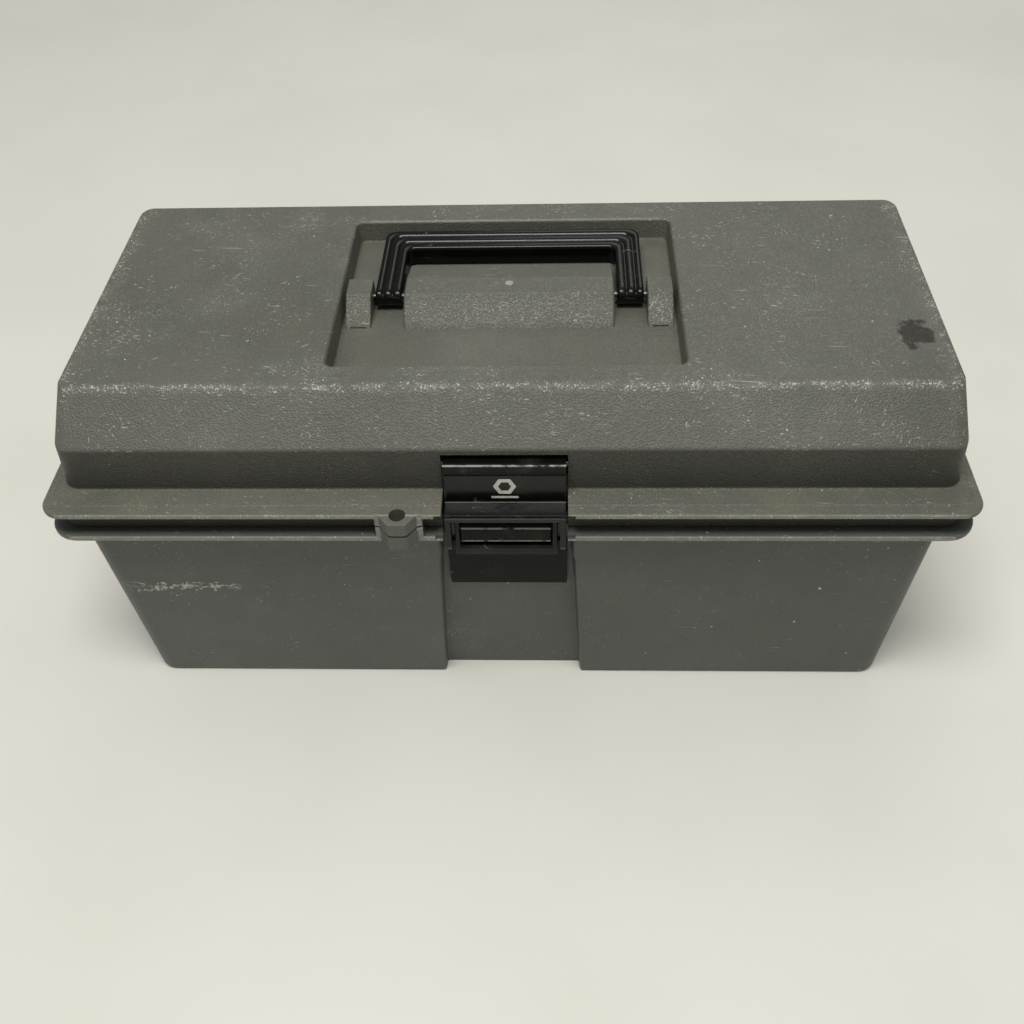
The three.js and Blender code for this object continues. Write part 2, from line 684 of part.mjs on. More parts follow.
/** Guide ribs that hold one divider at x, in the front (-1) or back (+1) half. */
function dividerRibs(x, side) {
  const wallY = trayInside(TRAY.lowHalfY, TRAY.topHalfY, DIVIDER.low) + 0.6;
  const gap = DIVIDER.thickness / 2 + CLEARANCE;
  return [-1, 1].flatMap((end) => {
    const x0 = x + end * gap;
    const x1 = x + end * (gap + DIVIDER.ribWidth);
    const span = [Math.min(x0, x1), Math.max(x0, x1)];
    return [[TRAY.spineHalfY - 0.5, TRAY.spineHalfY + DIVIDER.ribDepth],
      [wallY - DIVIDER.ribDepth - 0.6, wallY + 3]].map(([a, b]) => {
      const y0 = Math.min(side * a, side * b);
      const y1 = Math.max(side * a, side * b);
      return block([span[0], y0, DIVIDER.low - 1.5], [span[1], y1, DIVIDER.high]);
    });
  });
}

function tray() {
  const outer = wrap(
    ring(TRAY.lowHalfX - 1.2, TRAY.lowHalfY - 1.2, 7, TRAY.low),
    ring(TRAY.lowHalfX, TRAY.lowHalfY, 8, TRAY.low + 1.5),
    ring(TRAY.topHalfX, TRAY.topHalfY, 9, TRAY.high),
  );
  const floor = TRAY.low + TRAY.wall;
  const inside = wrap(
    ring(TRAY.lowHalfX - TRAY.wall, TRAY.lowHalfY - TRAY.wall, 6, floor),
    ring(TRAY.topHalfX - TRAY.wall, TRAY.topHalfY - TRAY.wall, 7, TRAY.high + 1),
  );
  const lowSpine = block(
    [-TRAY.topHalfX + TRAY.wall / 2, -TRAY.spineHalfY, TRAY.low + 1],
    [TRAY.topHalfX - TRAY.wall / 2, TRAY.spineHalfY, TRAY.high - 3],
  ).intersect(outer);
  const dip = block(
    [-TRAY.gripHalfX - 1, -PAST, TRAY.holeLow], [TRAY.gripHalfX + 1, PAST, TRAY.high + 1],
  );
  const ribs = DIVIDER.places.flatMap(([x, side]) => dividerRibs(x, side));
  const trimmedRibs = join(...ribs).intersect(outer);
  return join(cut(outer, inside), cut(lowSpine, dip), trimmedRibs);
}

/** The grip: a bar on two posts that fork over the tray's spine. */
function trayGrip() {
  const gripLow = TRAY.gripHigh - TRAY.gripDepth;
  const half = TRAY.gripHalfY;
  const edge = 2.5;
  const bar = prismX([
    [-half, gripLow + edge], [-half + edge, gripLow], [half - edge, gripLow],
    [half, gripLow + edge], [half, TRAY.gripHigh - edge], [half - edge, TRAY.gripHigh],
    [-half + edge, TRAY.gripHigh], [-half, TRAY.gripHigh - edge],
  ], -TRAY.gripHalfX, TRAY.gripHalfX);
  const posts = [-1, 1].map((side) => {
    const ends = [side * TRAY.holeHalfX, side * TRAY.gripHalfX].sort((a, b) => a - b);
    return block(
      [ends[0], -TRAY.postHalfY, TRAY.forkLow], [ends[1], TRAY.postHalfY, gripLow + edge],
    );
  });
  const fork = block(
    [-TRAY.gripHalfX - 1, -TRAY.spineHalfY - CLEARANCE, TRAY.forkLow - 1],
    [TRAY.gripHalfX + 1, TRAY.spineHalfY + CLEARANCE, TRAY.holeLow + CLEARANCE],
  );
  return cut(join(bar, ...posts), fork);
}

/** A flat divider that drops between two pairs of ribs. */
function divider([x, side]) {
  const half = DIVIDER.thickness / 2;
  const near = TRAY.spineHalfY + CLEARANCE;
  const corners = [DIVIDER.low, DIVIDER.high].flatMap((z) => {
    const far = trayInside(TRAY.lowHalfY, TRAY.topHalfY, z) - CLEARANCE - 0.4;
    return [near, far].map((y) => [side * y, z]);
  });
  return wrap([-half, half].flatMap(
    (dx) => corners.map(([y, z]) => new THREE.Vector3(x + dx, y, z)),
  ));
}

// ---- Assembly -----------------------------------------------------------------------------

const toolBox = new THREE.Group();

toolBox.add(mesh('body_tub', tub(), 'greyTub'));
toolBox.add(mesh('lid_shell', lid(), 'greyLid'));
toolBox.add(mesh('carry_handle', handle(), 'blackSatin'));
toolBox.add(mesh('latch_lever', latchLever(), 'blackGloss'));
toolBox.add(mesh('latch_bail', latchBail(), 'blackGloss'));
toolBox.add(mesh('latch_keeper', keeper(), 'blackSatin'));
toolBox.add(mesh(
  'latch_pin',
  rodX(LEVER_PIN.radius, -LEVER_PIN.halfLength, LEVER_PIN.halfLength, LEVER.pinY, LEVER.pinZ),
  'steel',
));

for (const [name, side] of [['left', -1], ['right', 1]]) {
  const ends = [side * HANDLE_PIN.inner, side * HANDLE_PIN.outer].sort((a, b) => a - b);
  toolBox.add(mesh(
    `handle_pin_${name}`,
    rodX(HANDLE_PIN.radius, ends[0], ends[1], HANDLE.pivotY, HANDLE.pivotZ),
    'steel',
  ));
  toolBox.add(mesh(`keeper_screw_${name}`, keeperScrew(side), 'steel'));
}

HINGE.stations.forEach((x, i) => {
  const half = HINGE.tubHalf + HINGE.gap + HINGE.lidLength;
  toolBox.add(mesh(
    `hinge_pin_${HINGE.names[i]}`,
    rodX(HINGE.pinRadius, x - half, x + half, HINGE.y, HINGE.z),
    'steel',
  ));
});

toolBox.add(mesh('tote_tray', tray(), 'trayGrey'));
toolBox.add(mesh('tray_grip', trayGrip(), 'trayGrey'));
DIVIDER.places.forEach((place, i) => {
  toolBox.add(mesh(`tray_divider_${i + 1}`, divider(place), 'trayGrey'));
});

export default toolBox;
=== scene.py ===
"""Looks of a moulded tool box: meshes, finishes, floor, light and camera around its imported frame.

Sizes are in millimetres and turned to metres when a piece is finished. +X runs along the box,
+Y to the hinge side and +Z up, as in the frame.
"""

import logging
import math
from dataclasses import dataclass, field
from enum import Enum
from typing import Iterable, Sequence

import bmesh
import bpy
from mathutils import Matrix, Vector


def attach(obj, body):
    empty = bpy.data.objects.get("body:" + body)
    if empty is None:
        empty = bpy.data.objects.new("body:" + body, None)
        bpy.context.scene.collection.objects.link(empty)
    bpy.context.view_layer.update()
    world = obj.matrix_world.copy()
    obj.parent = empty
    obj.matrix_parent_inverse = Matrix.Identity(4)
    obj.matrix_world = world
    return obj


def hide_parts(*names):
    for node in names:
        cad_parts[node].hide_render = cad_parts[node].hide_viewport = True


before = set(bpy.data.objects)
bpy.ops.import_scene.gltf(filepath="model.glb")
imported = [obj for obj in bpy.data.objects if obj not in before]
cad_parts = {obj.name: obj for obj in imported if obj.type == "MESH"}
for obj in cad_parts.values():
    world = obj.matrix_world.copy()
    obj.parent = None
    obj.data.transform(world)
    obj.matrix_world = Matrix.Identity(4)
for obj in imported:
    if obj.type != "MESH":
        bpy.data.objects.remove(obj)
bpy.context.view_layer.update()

# One millimetre in metres, and how many sides a pin, a knuckle or a hole has.
MM = 0.001
ROUND = 32
ALONG_X = Vector((1, 0, 0))
ALONG_Y = Vector((0, 1, 0))
UP = Vector((0, 0, 1))
LOG = logging.getLogger("tool_box")

Point2 = tuple[float, float]
Point3 = tuple[float, float, float]
Solid = bpy.types.Object
Socket = bpy.types.NodeSocket
Value = float | Socket


class Body(str, Enum):
    """The rigid bodies of the frame."""

    TUB = "tub"
    LID = "lid"
    HANDLE = "handle"
    LEVER = "lever"
    BAIL = "bail"
    TRAY = "tray"


class Cut(str, Enum):
    """What a tool does to the solid that it meets."""

    JOIN = "UNION"
    REMOVE = "DIFFERENCE"


# ---- Mesh tools -----------------------------------------------------------------------------


def new_object(name: str, bm: bmesh.types.BMesh) -> Solid:
    """Turns a finished bmesh into a linked object with its faces pointing out.

    Args:
        name: The object's name.
        bm: The mesh, in millimetres. It is freed.

    Returns:
        The new object.
    """
    bmesh.ops.recalc_face_normals(bm, faces=bm.faces)
    mesh = bpy.data.meshes.new(name)
    bm.to_mesh(mesh)
    bm.free()
    result = bpy.data.objects.new(name, mesh)
    bpy.context.scene.collection.objects.link(result)
    return result


def bake_modifiers(target: Solid) -> None:
    """Replaces an object's mesh with its modified mesh.

    Args:
        target: The object whose modifiers are applied.
    """
    graph = bpy.context.evaluated_depsgraph_get()
    graph.update()
    fresh = bpy.data.meshes.new_from_object(target.evaluated_get(graph))
    target.modifiers.clear()
    old = target.data
    target.data = fresh
    bpy.data.meshes.remove(old)


def combine(target: Solid, tool: Solid, how: Cut) -> Solid:
    """Joins a tool to the target or cuts the target with it, and removes the tool.

    Args:
        target: The solid that is kept.
        tool: The solid that works on it.
        how: What the tool does.

    Returns:
        The target.
    """
    step = target.modifiers.new(how.value, "BOOLEAN")
    step.operation = how.value
    step.solver = "EXACT"
    step.object = tool
    bake_modifiers(target)
    bpy.data.objects.remove(tool)
    return target


def gather(name: str, parts: Sequence[Solid]) -> Solid:
    """Puts solids that don't touch each other into one object.

    Args:
        name: The new object's name.
        parts: The solids. They are removed.

    Returns:
        One object that holds them all.
    """
    bm = bmesh.new()
    for part in parts:
        bm.from_mesh(part.data)
        bpy.data.objects.remove(part)
    return new_object(name, bm)


def soften(target: Solid, width: float, angle: float = 40.0, steps: int = 3) -> Solid:
    """Rounds every edge that turns by more than an angle.

    Args:
        target: The solid.
        width: How wide the rounding is, in millimetres.
        angle: The least turn that is rounded, in degrees.
        steps: How many facets make the rounding.

    Returns:
        The target.
    """
    bevel = target.modifiers.new("soft_edges", "BEVEL")
    bevel.width = width
    bevel.segments = steps
    bevel.limit_method = "ANGLE"
    bevel.angle_limit = math.radians(angle)
    bevel.use_clamp_overlap = True
    bake_modifiers(target)
    return target


def finish_piece(
    target: Solid,
    name: str,
    body: Body,
    material: bpy.types.Material,
    stands_for: Iterable[str] = (),
    smooth_angle: float = 34.0,
) -> Solid:
    """Scales a piece to metres, shades it, dresses it and hangs it on its body.

    Args:
        target: The piece, in millimetres.
        name: Its final name.
        body: The body that it moves with.
        material: Its finish.
        stands_for: CAD nodes that it replaces.
        smooth_angle: Edges that turn by more than this stay sharp, in degrees.

    Returns:
        The finished piece.
    """
    target.name = name
    target.data.name = name
    mesh = target.data
    mesh.transform(Matrix.Scale(MM, 4))
    mesh.shade_smooth()
    mesh.set_sharp_from_angle(angle=math.radians(smooth_angle))
    weight = target.modifiers.new("flat_faces_stay_flat", "WEIGHTED_NORMAL")
    weight.mode = "FACE_AREA"
    weight.keep_sharp = True
    bake_modifiers(target)
    target.data.materials.clear()
    target.data.materials.append(material)
    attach(target, body.value)
    if stands_for:
        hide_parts(*stands_for)
    LOG.info("%s: %d faces, rides on %s", name, len(target.data.polygons), body.value)
    return target


def loft(name: str, rings: Sequence[Sequence[Vector]]) -> Solid:
    """Skins a row of closed rings, with a flat cap at each end.

    Args:
        name: The object's name.
        rings: Rings with the same number of points each.

    Returns:
        The solid.
    """
    bm = bmesh.new()
    rows = [[bm.verts.new(point) for point in ring] for ring in rings]
    for low, high in zip(rows, rows[1:]):
        for i in range(len(low)):
            j = (i + 1) % len(low)
            bm.faces.new((low[i], low[j], high[j], high[i]))
    bm.faces.new(rows[0])
    bm.faces.new(rows[-1])
    return new_object(name, bm)


def rounded(points: Sequence[Point2], radii: Sequence[float], steps: int = 4) -> list[Point2]:
    """Rounds the corners of an open line.

    A corner with a radius always gives the same number of points, even where the line runs
    straight through it, so that two lines with the same corners stay in step.

    Args:
        points: The line's corners.
        radii: One radius for each corner; 0 keeps it sharp.
        steps: How many segments make a rounded corner.

    Returns:
        The points of the rounded line.
    """
    result: list[Point2] = []
    for i, (point, radius) in enumerate(zip(points, radii)):
        if radius <= 0 or i in (0, len(points) - 1):
            result.append(point)
            continue
        here = Vector(point)
        back = Vector(points[i - 1]) - here
        ahead = Vector(points[i + 1]) - here
        turn = math.pi - back.angle(ahead)
        reach = max(radius * math.tan(turn / 2), 0.3 * radius)
        start = here + back.normalized() * min(reach, back.length * 0.49)
        stop = here + ahead.normalized() * min(reach, ahead.length * 0.49)
        for k in range(steps + 1):
            t = k / steps
            spot = start * (1 - t) ** 2 + here * 2 * t * (1 - t) + stop * t * t
            result.append((spot.x, spot.y))
    return result


def rounded_loop(points: Sequence[Point2], radii: Sequence[float], steps: int = 4) -> list[Point2]:
    """Rounds the corners of a closed outline.

    Args:
        points: The outline's corners.
        radii: One radius for each corner.
        steps: How many segments make a rounded corner.

    Returns:
        The points of the rounded outline.
    """
    count = len(points)
    result: list[Point2] = []
    for i in range(count):
        three = [points[i - 1], points[i], points[(i + 1) % count]]
        result.extend(rounded(three, [0, radii[i], 0], steps)[1:-1])
    return result


@dataclass(frozen=True)
class Station:
    """One corner of a moulding's section, on its long sides and on its ends.

    Attributes:
        side: (y, z) on the front and back.
        end: (x, z) on the two ends.
        plan: Radius of the four upright corners there, seen from above.
        edge: Radius that rounds the section's corner.
    """

    side: Point2
    end: Point2
    plan: float
    edge: float = 0.0


def moulding(
    name: str, stations: Sequence[Station], middle_y: float = 0.0, arc: int = 9, edge_steps: int = 3
) -> Solid:
    """Sweeps a section round a rounded rectangle, with a flat cap at each end of the section.

    Args:
        name: The object's name.
        stations: The section's corners in order.
        middle_y: Where the rectangle's middle lies along Y.
        arc: Segments in each upright corner.
        edge_steps: Segments in each rounded corner of the section.

    Returns:
        The swept solid.
    """
    edges = [s.edge for s in stations]
    sides = rounded([s.side for s in stations], edges, edge_steps)
    ends = rounded([s.end for s in stations], edges, edge_steps)
    plans: list[float] = []
    for i, station in enumerate(stations):
        inner = 0 < i < len(stations) - 1 and station.edge > 0
        plans.extend([station.plan] * (edge_steps + 1 if inner else 1))
    rings = []
    for (half_y, side_z), (half_x, end_z), radius in zip(sides, ends, plans):
        ring = []
        for corner in range(4):
            sign_x = 1 if corner in (0, 3) else -1
            sign_y = 1 if corner < 2 else -1
            for k in range(arc + 1):
                angle = (corner + k / arc) * math.pi / 2
                toward_side = math.sin(angle) ** 2
                ring.append(Vector((
                    sign_x * (half_x - radius) + radius * math.cos(angle),
                    middle_y + sign_y * (half_y - radius) + radius * math.sin(angle),
                    end_z + (side_z - end_z) * toward_side,
                )))
        rings.append(ring)
    return loft(name, rings)


def prism_x(name: str, outline: Sequence[Point2], x0: float, x1: float) -> Solid:
    """Extrudes a (y, z) outline along X.

    Args:
        name: The object's name.
        outline: The outline's points.
        x0: Where it starts.
        x1: Where it ends.

    Returns:
        The prism.
    """
    return prism(name, [Vector((x0, y, z)) for y, z in outline], Vector((x1 - x0, 0, 0)))


def prism_z(name: str, outline: Sequence[Point2], z0: float, z1: float) -> Solid:
    """Extrudes an (x, y) outline up Z.

    Args:
        name: The object's name.
        outline: The outline's points.
        z0: Its lower end.
        z1: Its upper end.

    Returns:
        The prism.
    """
    return prism(name, [Vector((x, y, z0)) for x, y in outline], Vector((0, 0, z1 - z0)))


def prism(name: str, loop: Sequence[Vector], along: Vector) -> Solid:
    """Extrudes a flat loop by a vector."""
    return loft(name, [loop, [point + along for point in loop]])


def brick(name: str, low: Sequence[float], high: Sequence[float]) -> Solid:
    """A box between two corners, for use as a tool or as a rib."""
    outline = [(low[0], low[1]), (high[0], low[1]), (high[0], high[1]), (low[0], high[1])]
    return prism_z(name, outline, low[2], high[2])


def wrap(name: str, points: Iterable[Sequence[float]]) -> Solid:
    """The convex solid round some points.

    Args:
        name: The object's name.
        points: The points to wrap.

    Returns:
        The solid, with its flat faces merged.
    """
    bm = bmesh.new()
    for point in points:
        bm.verts.new(point)
    bmesh.ops.convex_hull(bm, input=bm.verts)
    loose = [v for v in bm.verts if not v.link_faces]
    bmesh.ops.delete(bm, geom=loose, context="VERTS")
    bmesh.ops.dissolve_limit(bm, angle_limit=math.radians(0.5), verts=bm.verts, edges=bm.edges)
    return new_object(name, bm)


def turns(count: int) -> list[float]:
    """Evenly spaced angles right round a circle."""
    return [2 * math.pi * i / count for i in range(count)]


def circle_x(x: float, y: float, z: float, radius: float) -> list[Vector]:
    """Points round a circle that faces along X."""
    return [Vector((x, y + radius * math.cos(a), z + radius * math.sin(a))) for a in turns(ROUND)]


def rod(
    name: str, start: Vector, axis: Vector, length: float, radius: float, chamfer: float = 0.0,
    count: int = ROUND,
) -> Solid:
    """A round rod with optional chamfers at both ends.

    Args:
        name: The object's name.
        start: The middle of its first end.
        axis: Its direction.
        length: Its length.
        radius: Its radius.
        chamfer: Size of the chamfers.
        count: How many sides it has.

    Returns:
        The rod.
    """
    turn = UP.rotation_difference(axis).to_matrix()
    profile = [(radius, 0.0), (radius, length)]
    if chamfer > 0:
        profile = [
            (radius - chamfer, 0.0), (radius, chamfer),
            (radius, length - chamfer), (radius - chamfer, length),
        ]
    rings = []
    for r, along in profile:
        rings.append([
            start + turn @ Vector((r * math.cos(a), r * math.sin(a), along)) for a in turns(count)
        ])
    return loft(name, rings)


# ---- Shared places --------------------------------------------------------------------------

# Half the length and width of both flanges, and the heights of the tub's.
FLANGE_HALF = (228.5, 124.5)
TUB_FLANGE_LOW = 120.3
TUB_FLANGE_HIGH = 123.3
# (y, z) of the handle's and the lever's turning axes.
HANDLE_PIVOT = (0.5, 178.4)
LEVER_PIVOT = (-102.6, 152.5)
# Steel pins, the play round each, the span of the right handle pin and half the latch pin.
PIN_RADIUS = 1.5
PIN_PLAY = 0.35
PIN_HOLE = PIN_RADIUS + PIN_PLAY
HANDLE_PIN = (52.4, 79.2)
LATCH_PIN_HALF = 35.4
# Where the keeper's screws stand, left and right of the middle.
SCREW_X = 13.0
SCREW_Z = 92.0
SCREW_HOLE = 1.95


@dataclass(frozen=True)
class Hinges:
    """Three hinge stations along the back, each a tub knuckle between two lid knuckles."""

    y: float = 127.4
    z: float = 129.5
    radius: float = 4.2
    stations: tuple[float, ...] = (-150, 0, 150)
    tub_half: float = 8
    gap: float = 0.4
    lid_length: float = 10

    def knuckle(self, x0: float, x1: float, web: tuple[float, float, float, float]) -> Solid:
        """A knuckle and the web that carries it.

        Args:
            x0: Where it starts.
            x1: Where it ends.
            web: The web's (y0, y1, z0, z1) on the flange.

        Returns:
            The knuckle.
        """
        y0, y1, z0, z1 = web
        points = [tuple(p) for x in (x0, x1) for p in circle_x(x, self.y, self.z, self.radius)]
        points += [(x, y, z) for x in (x0, x1) for y in (y0, y1) for z in (z0, z1)]
        return soften(wrap("knuckle", points), 0.4, 60, 2)

    def holes(self) -> Solid:
        """The pins' holes, right through every station."""
        half = self.tub_half + self.gap + self.lid_length + 1
        return gather("hinge_holes", [
            rod("hole", Vector((x - half, self.y, self.z)), ALONG_X, 2 * half, PIN_HOLE)
            for x in self.stations
        ])


@dataclass(frozen=True)
class PadlockEye:
    """The padlock eye left of the latch, one ear on each flange."""

    x: float = -51.6
    hole_radius: float = 4.1
    base_half: float = 9.7
    tip_half: float = 3.3
    tip_y: float = -131.6
    flange_y: float = -124.5
    back_y: float = -118.5

    def ear(self, low: float, high: float) -> Solid:
        """One ear between two heights, with soft edges."""
        outline = [
            (self.x - self.base_half - 2, self.back_y), (self.x + self.base_half + 2, self.back_y),
            (self.x + self.base_half + 2, self.flange_y), (self.x + self.base_half, self.flange_y),
            (self.x + self.tip_half + 1, self.tip_y), (self.x - self.tip_half - 1, self.tip_y),
            (self.x - self.base_half, self.flange_y), (self.x - self.base_half - 2, self.flange_y),
        ]
        radii = [0, 0, 0, 2.5, 3, 3, 2.5, 0]
        return soften(prism_z("padlock_ear", rounded_loop(outline, radii, 5), low, high), 0.6, 45, 2)

    def hole(self) -> Solid:
        """The padlock's hole through both ears."""
        start = Vector((self.x, self.flange_y, 100))
        return rod("padlock_hole", start, UP, 60, self.hole_radius, count=40)


def handle_pin_holes() -> list[Solid]:
    """Tools for the right and the left hole of the handle's pins."""
    inner, outer = HANDLE_PIN
    length = outer - inner + 2 * PIN_PLAY
    return [
        rod("pin_hole", Vector((x, *HANDLE_PIVOT)), ALONG_X, length, PIN_HOLE)
        for x in (inner - PIN_PLAY, -outer - PIN_PLAY)
    ]


HINGES = Hinges()
EYE = PadlockEye()


# ---- Material tools -------------------------------------------------------------------------


def linear(hex_colour: str) -> tuple[float, float, float, float]:
    """Turns an sRGB hex colour into linear light.

    Args:
        hex_colour: Six hex digits, such as "5C5C54".

    Returns:
        Linear red, green, blue and an alpha of 1.
    """
    parts = [int(hex_colour[i:i + 2], 16) / 255 for i in (0, 2, 4)]
    light = [c / 12.92 if c <= 0.04045 else ((c + 0.055) / 1.055) ** 2.4 for c in parts]
    return (light[0], light[1], light[2], 1.0)


def add_node(
    tree: bpy.types.NodeTree, kind: str, settings: dict | None = None, inputs: dict | None = None
) -> bpy.types.Node:
    """Adds a shader node with its settings and links.

    Args:
        tree: The node tree.
        kind: The node's type, such as "ShaderNodeMath".
        settings: Attributes to set.
        inputs: Values or output sockets, by the input's name or number.

    Returns:
        The node.
    """
    node = tree.nodes.new(kind)
    for key, value in (settings or {}).items():
        setattr(node, key, value)
    for key, value in (inputs or {}).items():
        if isinstance(value, Socket):
            tree.links.new(value, node.inputs[key])
        else:
            node.inputs[key].default_value = value
    return node


@dataclass
class Sheet:
    """A material being made: its tree, its shader and the piece's own coordinates in metres."""

    name: str
    material: bpy.types.Material = field(init=False)
    tree: bpy.types.NodeTree = field(init=False)
    shader: bpy.types.Node = field(init=False)
    place: Socket = field(init=False)
    x: Socket = field(init=False)
    y: Socket = field(init=False)
    z: Socket = field(init=False)

    def __post_init__(self) -> None:
        """Makes the material, its output, its shader and the coordinates."""
        self.material = bpy.data.materials.new(self.name)
        self.material.use_nodes = True
        self.tree = self.material.node_tree
        self.tree.nodes.clear()
        output = add_node(self.tree, "ShaderNodeOutputMaterial")
        self.shader = add_node(self.tree, "ShaderNodeBsdfPrincipled")
        self.tree.links.new(self.shader.outputs["BSDF"], output.inputs["Surface"])
        self.place = add_node(self.tree, "ShaderNodeTexCoord").outputs["Object"]
        parts = add_node(self.tree, "ShaderNodeSeparateXYZ", inputs={"Vector": self.place})
        self.x, self.y, self.z = (parts.outputs[axis] for axis in "XYZ")

    def fold(self, operation: str, *values: Value, clamp: bool = False) -> Value:
        """Combines values one after another.

        Args:
            operation: What is done to the result so far and the next value, such as "ADD".
            values: Numbers or sockets.
            clamp: Whether every result is kept between 0 and 1.

        Returns:
            The last result.
        """
        settings = {"operation": operation, "use_clamp": clamp}
        result = values[0]
        for value in values[1:]:
            result = add_node(self.tree, "ShaderNodeMath", settings, {0: result, 1: value}).outputs[0]
        return result

    def product(self, *values: Value, clamp: bool = False) -> Value:
        """The product of some values."""
        return self.fold("MULTIPLY", *values, clamp=clamp)

    def total(self, *values: Value, clamp: bool = False) -> Value:
        """The sum of some values."""
        return self.fold("ADD", *values, clamp=clamp)

    def largest(self, *values: Value) -> Value:
        """The largest of some values."""
        return self.fold("MAXIMUM", *values)

    def away(self, value: Value, centre: float = 0.0) -> Value:
        """How far a value is from a centre, either way."""
        return self.fold("ABSOLUTE", self.fold("SUBTRACT", value, centre), 0.0)

    def ramp(self, value: Value, low: float, high: float, top: float = 1.0) -> Socket:
        """A smooth step from 0 to a top value as a value goes from low to high."""
        settings = {"interpolation_type": "SMOOTHSTEP"}
        inputs = {"Value": value, "From Min": low, "From Max": high, "To Max": top}
        return add_node(self.tree, "ShaderNodeMapRange", settings, inputs).outputs["Result"]

    def rise(self, metres: Value, low_mm: float, high_mm: float, top: float = 1.0) -> Socket:
        """A smooth step from 0 to a top value between two places on the piece."""
        return self.ramp(metres, low_mm * MM, high_mm * MM, top)

    def near(self, metres: Value, centre_mm: float, reach_mm: float) -> Socket:
        """1 where a coordinate is at a place, falling to 0 at a reach from it."""
        return self.rise(self.away(metres, centre_mm * MM), reach_mm, 0.0)

    def noise(self, size_mm: float, detail: float = 3.0, stretch: Sequence[float] = (1, 1, 1),
              turn: float = 0.0, shift: float = 0.0) -> Socket:
        """Soft noise whose features have a real size.

        Args:
            size_mm: Size of a feature.
            detail: How much finer detail is added.
            stretch: How much shorter the features are along each axis.
            turn: How far the stretched axes are turned, mostly about Z, in degrees.
            shift: Moves the pattern, so that two noises differ.

        Returns:
            The noise's value, about 0.5 on average.
        """
        angles = tuple(math.radians(turn * part) for part in (0.6, 0.4, 1.0))
        turned = add_node(self.tree, "ShaderNodeMapping", inputs={
            "Vector": self.place, "Location": (shift, shift * 0.7, shift * 1.3), "Rotation": angles,
        })
        place = add_node(self.tree, "ShaderNodeVectorMath", {"operation": "MULTIPLY"}, {
            0: turned.outputs[0], 1: tuple(stretch),
        })
        return add_node(self.tree, "ShaderNodeTexNoise", inputs={
            "Vector": place.outputs[0], "Scale": 1 / (size_mm * MM), "Detail": detail,
        }).outputs["Fac"]

    def patches(self, size_mm: float, low: float, high: float, top: float = 1.0,
                detail: float = 3.0, shift: float = 0.0) -> Socket:
        """Soft-edged patches of a real size.

        Args:
            size_mm: Size of a patch.
            low: The noise value at which a patch starts.
            high: The noise value at which it is full.
            top: The mask's value in a full patch.
            detail: How ragged the patches are.
            shift: Moves the pattern.

        Returns:
            The patches' mask.
        """
        return self.ramp(self.noise(size_mm, detail, shift=shift), low, high, top)

    def cells(self, size_mm: float, warp: float) -> Socket:
        """How far each place is from the middle of its cell, in irregular cells of a real size.

        Args:
            size_mm: Width of a cell.
            warp: How much a noise bends the cells, in cells.

        Returns:
            The distance, in cells.
        """
        scale = 1 / (size_mm * MM)
        bend = add_node(self.tree, "ShaderNodeTexNoise", inputs={
            "Vector": self.place, "Scale": scale, "Detail": 2.0,
        })
        moved = add_node(self.tree, "ShaderNodeVectorMath", {"operation": "SCALE"}, {
            0: bend.outputs["Color"], "Scale": warp * size_mm * MM,
        })
        place = add_node(self.tree, "ShaderNodeVectorMath", {"operation": "ADD"}, {
            0: self.place, 1: moved.outputs[0],
        })
        return add_node(self.tree, "ShaderNodeTexVoronoi", inputs={
            "Vector": place.outputs[0], "Scale": scale,
        }).outputs["Distance"]

    def paint(self, amount: Value, under: Socket | str, over: str) -> Socket:
        """Lays a colour over another.

        Args:
            amount: How much of it covers, from 0 to 1.
            under: The colour so far, as a socket or in hex.
            over: The new colour, in hex.

        Returns:
            The resulting colour.
        """
        base = linear(under) if isinstance(under, str) else under
        inputs = {0: amount, 6: base, 7: linear(over)}
        return add_node(self.tree, "ShaderNodeMix", {"data_type": "RGBA"}, inputs).outputs[2]

    def relief(self, height: Value, depth_mm: float, strength: float, under: Socket | None = None) -> Socket:
        """Fine relief of a real depth, on top of an earlier one.

        Args:
            height: The height, from 0 to 1.
            depth_mm: How deep the relief is.
            strength: How strongly it shows.
            under: An earlier relief.

        Returns:
            The surface's new direction.
        """
        inputs = {"Height": height, "Distance": depth_mm * MM, "Strength": strength}
        if under is not None:
            inputs["Normal"] = under
        return add_node(self.tree, "ShaderNodeBump", inputs=inputs).outputs["Normal"]

    def finish(self, **sockets: Value) -> bpy.types.Material:
        """Feeds the shader: a socket is linked and a number is set on the shader itself.

        Args:
            **sockets: Sockets or numbers, by the input's name with underscores for its spaces.

        Returns:
            The finished material.
        """
        for name, value in sockets.items():
            socket = self.shader.inputs[name.replace("_", " ")]
            if isinstance(value, Socket):
                self.tree.links.new(value, socket)
            else:
                socket.default_value = value
        return self.material


# ---- Finishes -------------------------------------------------------------------------------


@dataclass(frozen=True)
class Wear:
    """Where a grey moulding has been rubbed, and how hard.

    Attributes:
        ridge: (y, least z) of a long edge that is worn pale, or None.
        end: Half the length at which both ends are worn, or None.
        rim: Half sizes of a flange whose outer edge is worn, or None.
        scuffs: How much of the surface carries pale specks, from 0 to 1.
        scratches: How strongly fine scratches show.
    """

    ridge: Point2 | None = None
    end: float | None = None
    rim: Point2 | None = None
    scuffs: float = 0.5
    scratches: float = 0.5


@dataclass(frozen=True)
class Chips:
    """A pattern of small round chips.

    Attributes:
        spacing: Typical distance between chips, in mm.
        radius: A chip's radius, as a share of the spacing.
        shift: Moves the pattern of where they are.
    """

    spacing: float
    radius: float
    shift: float


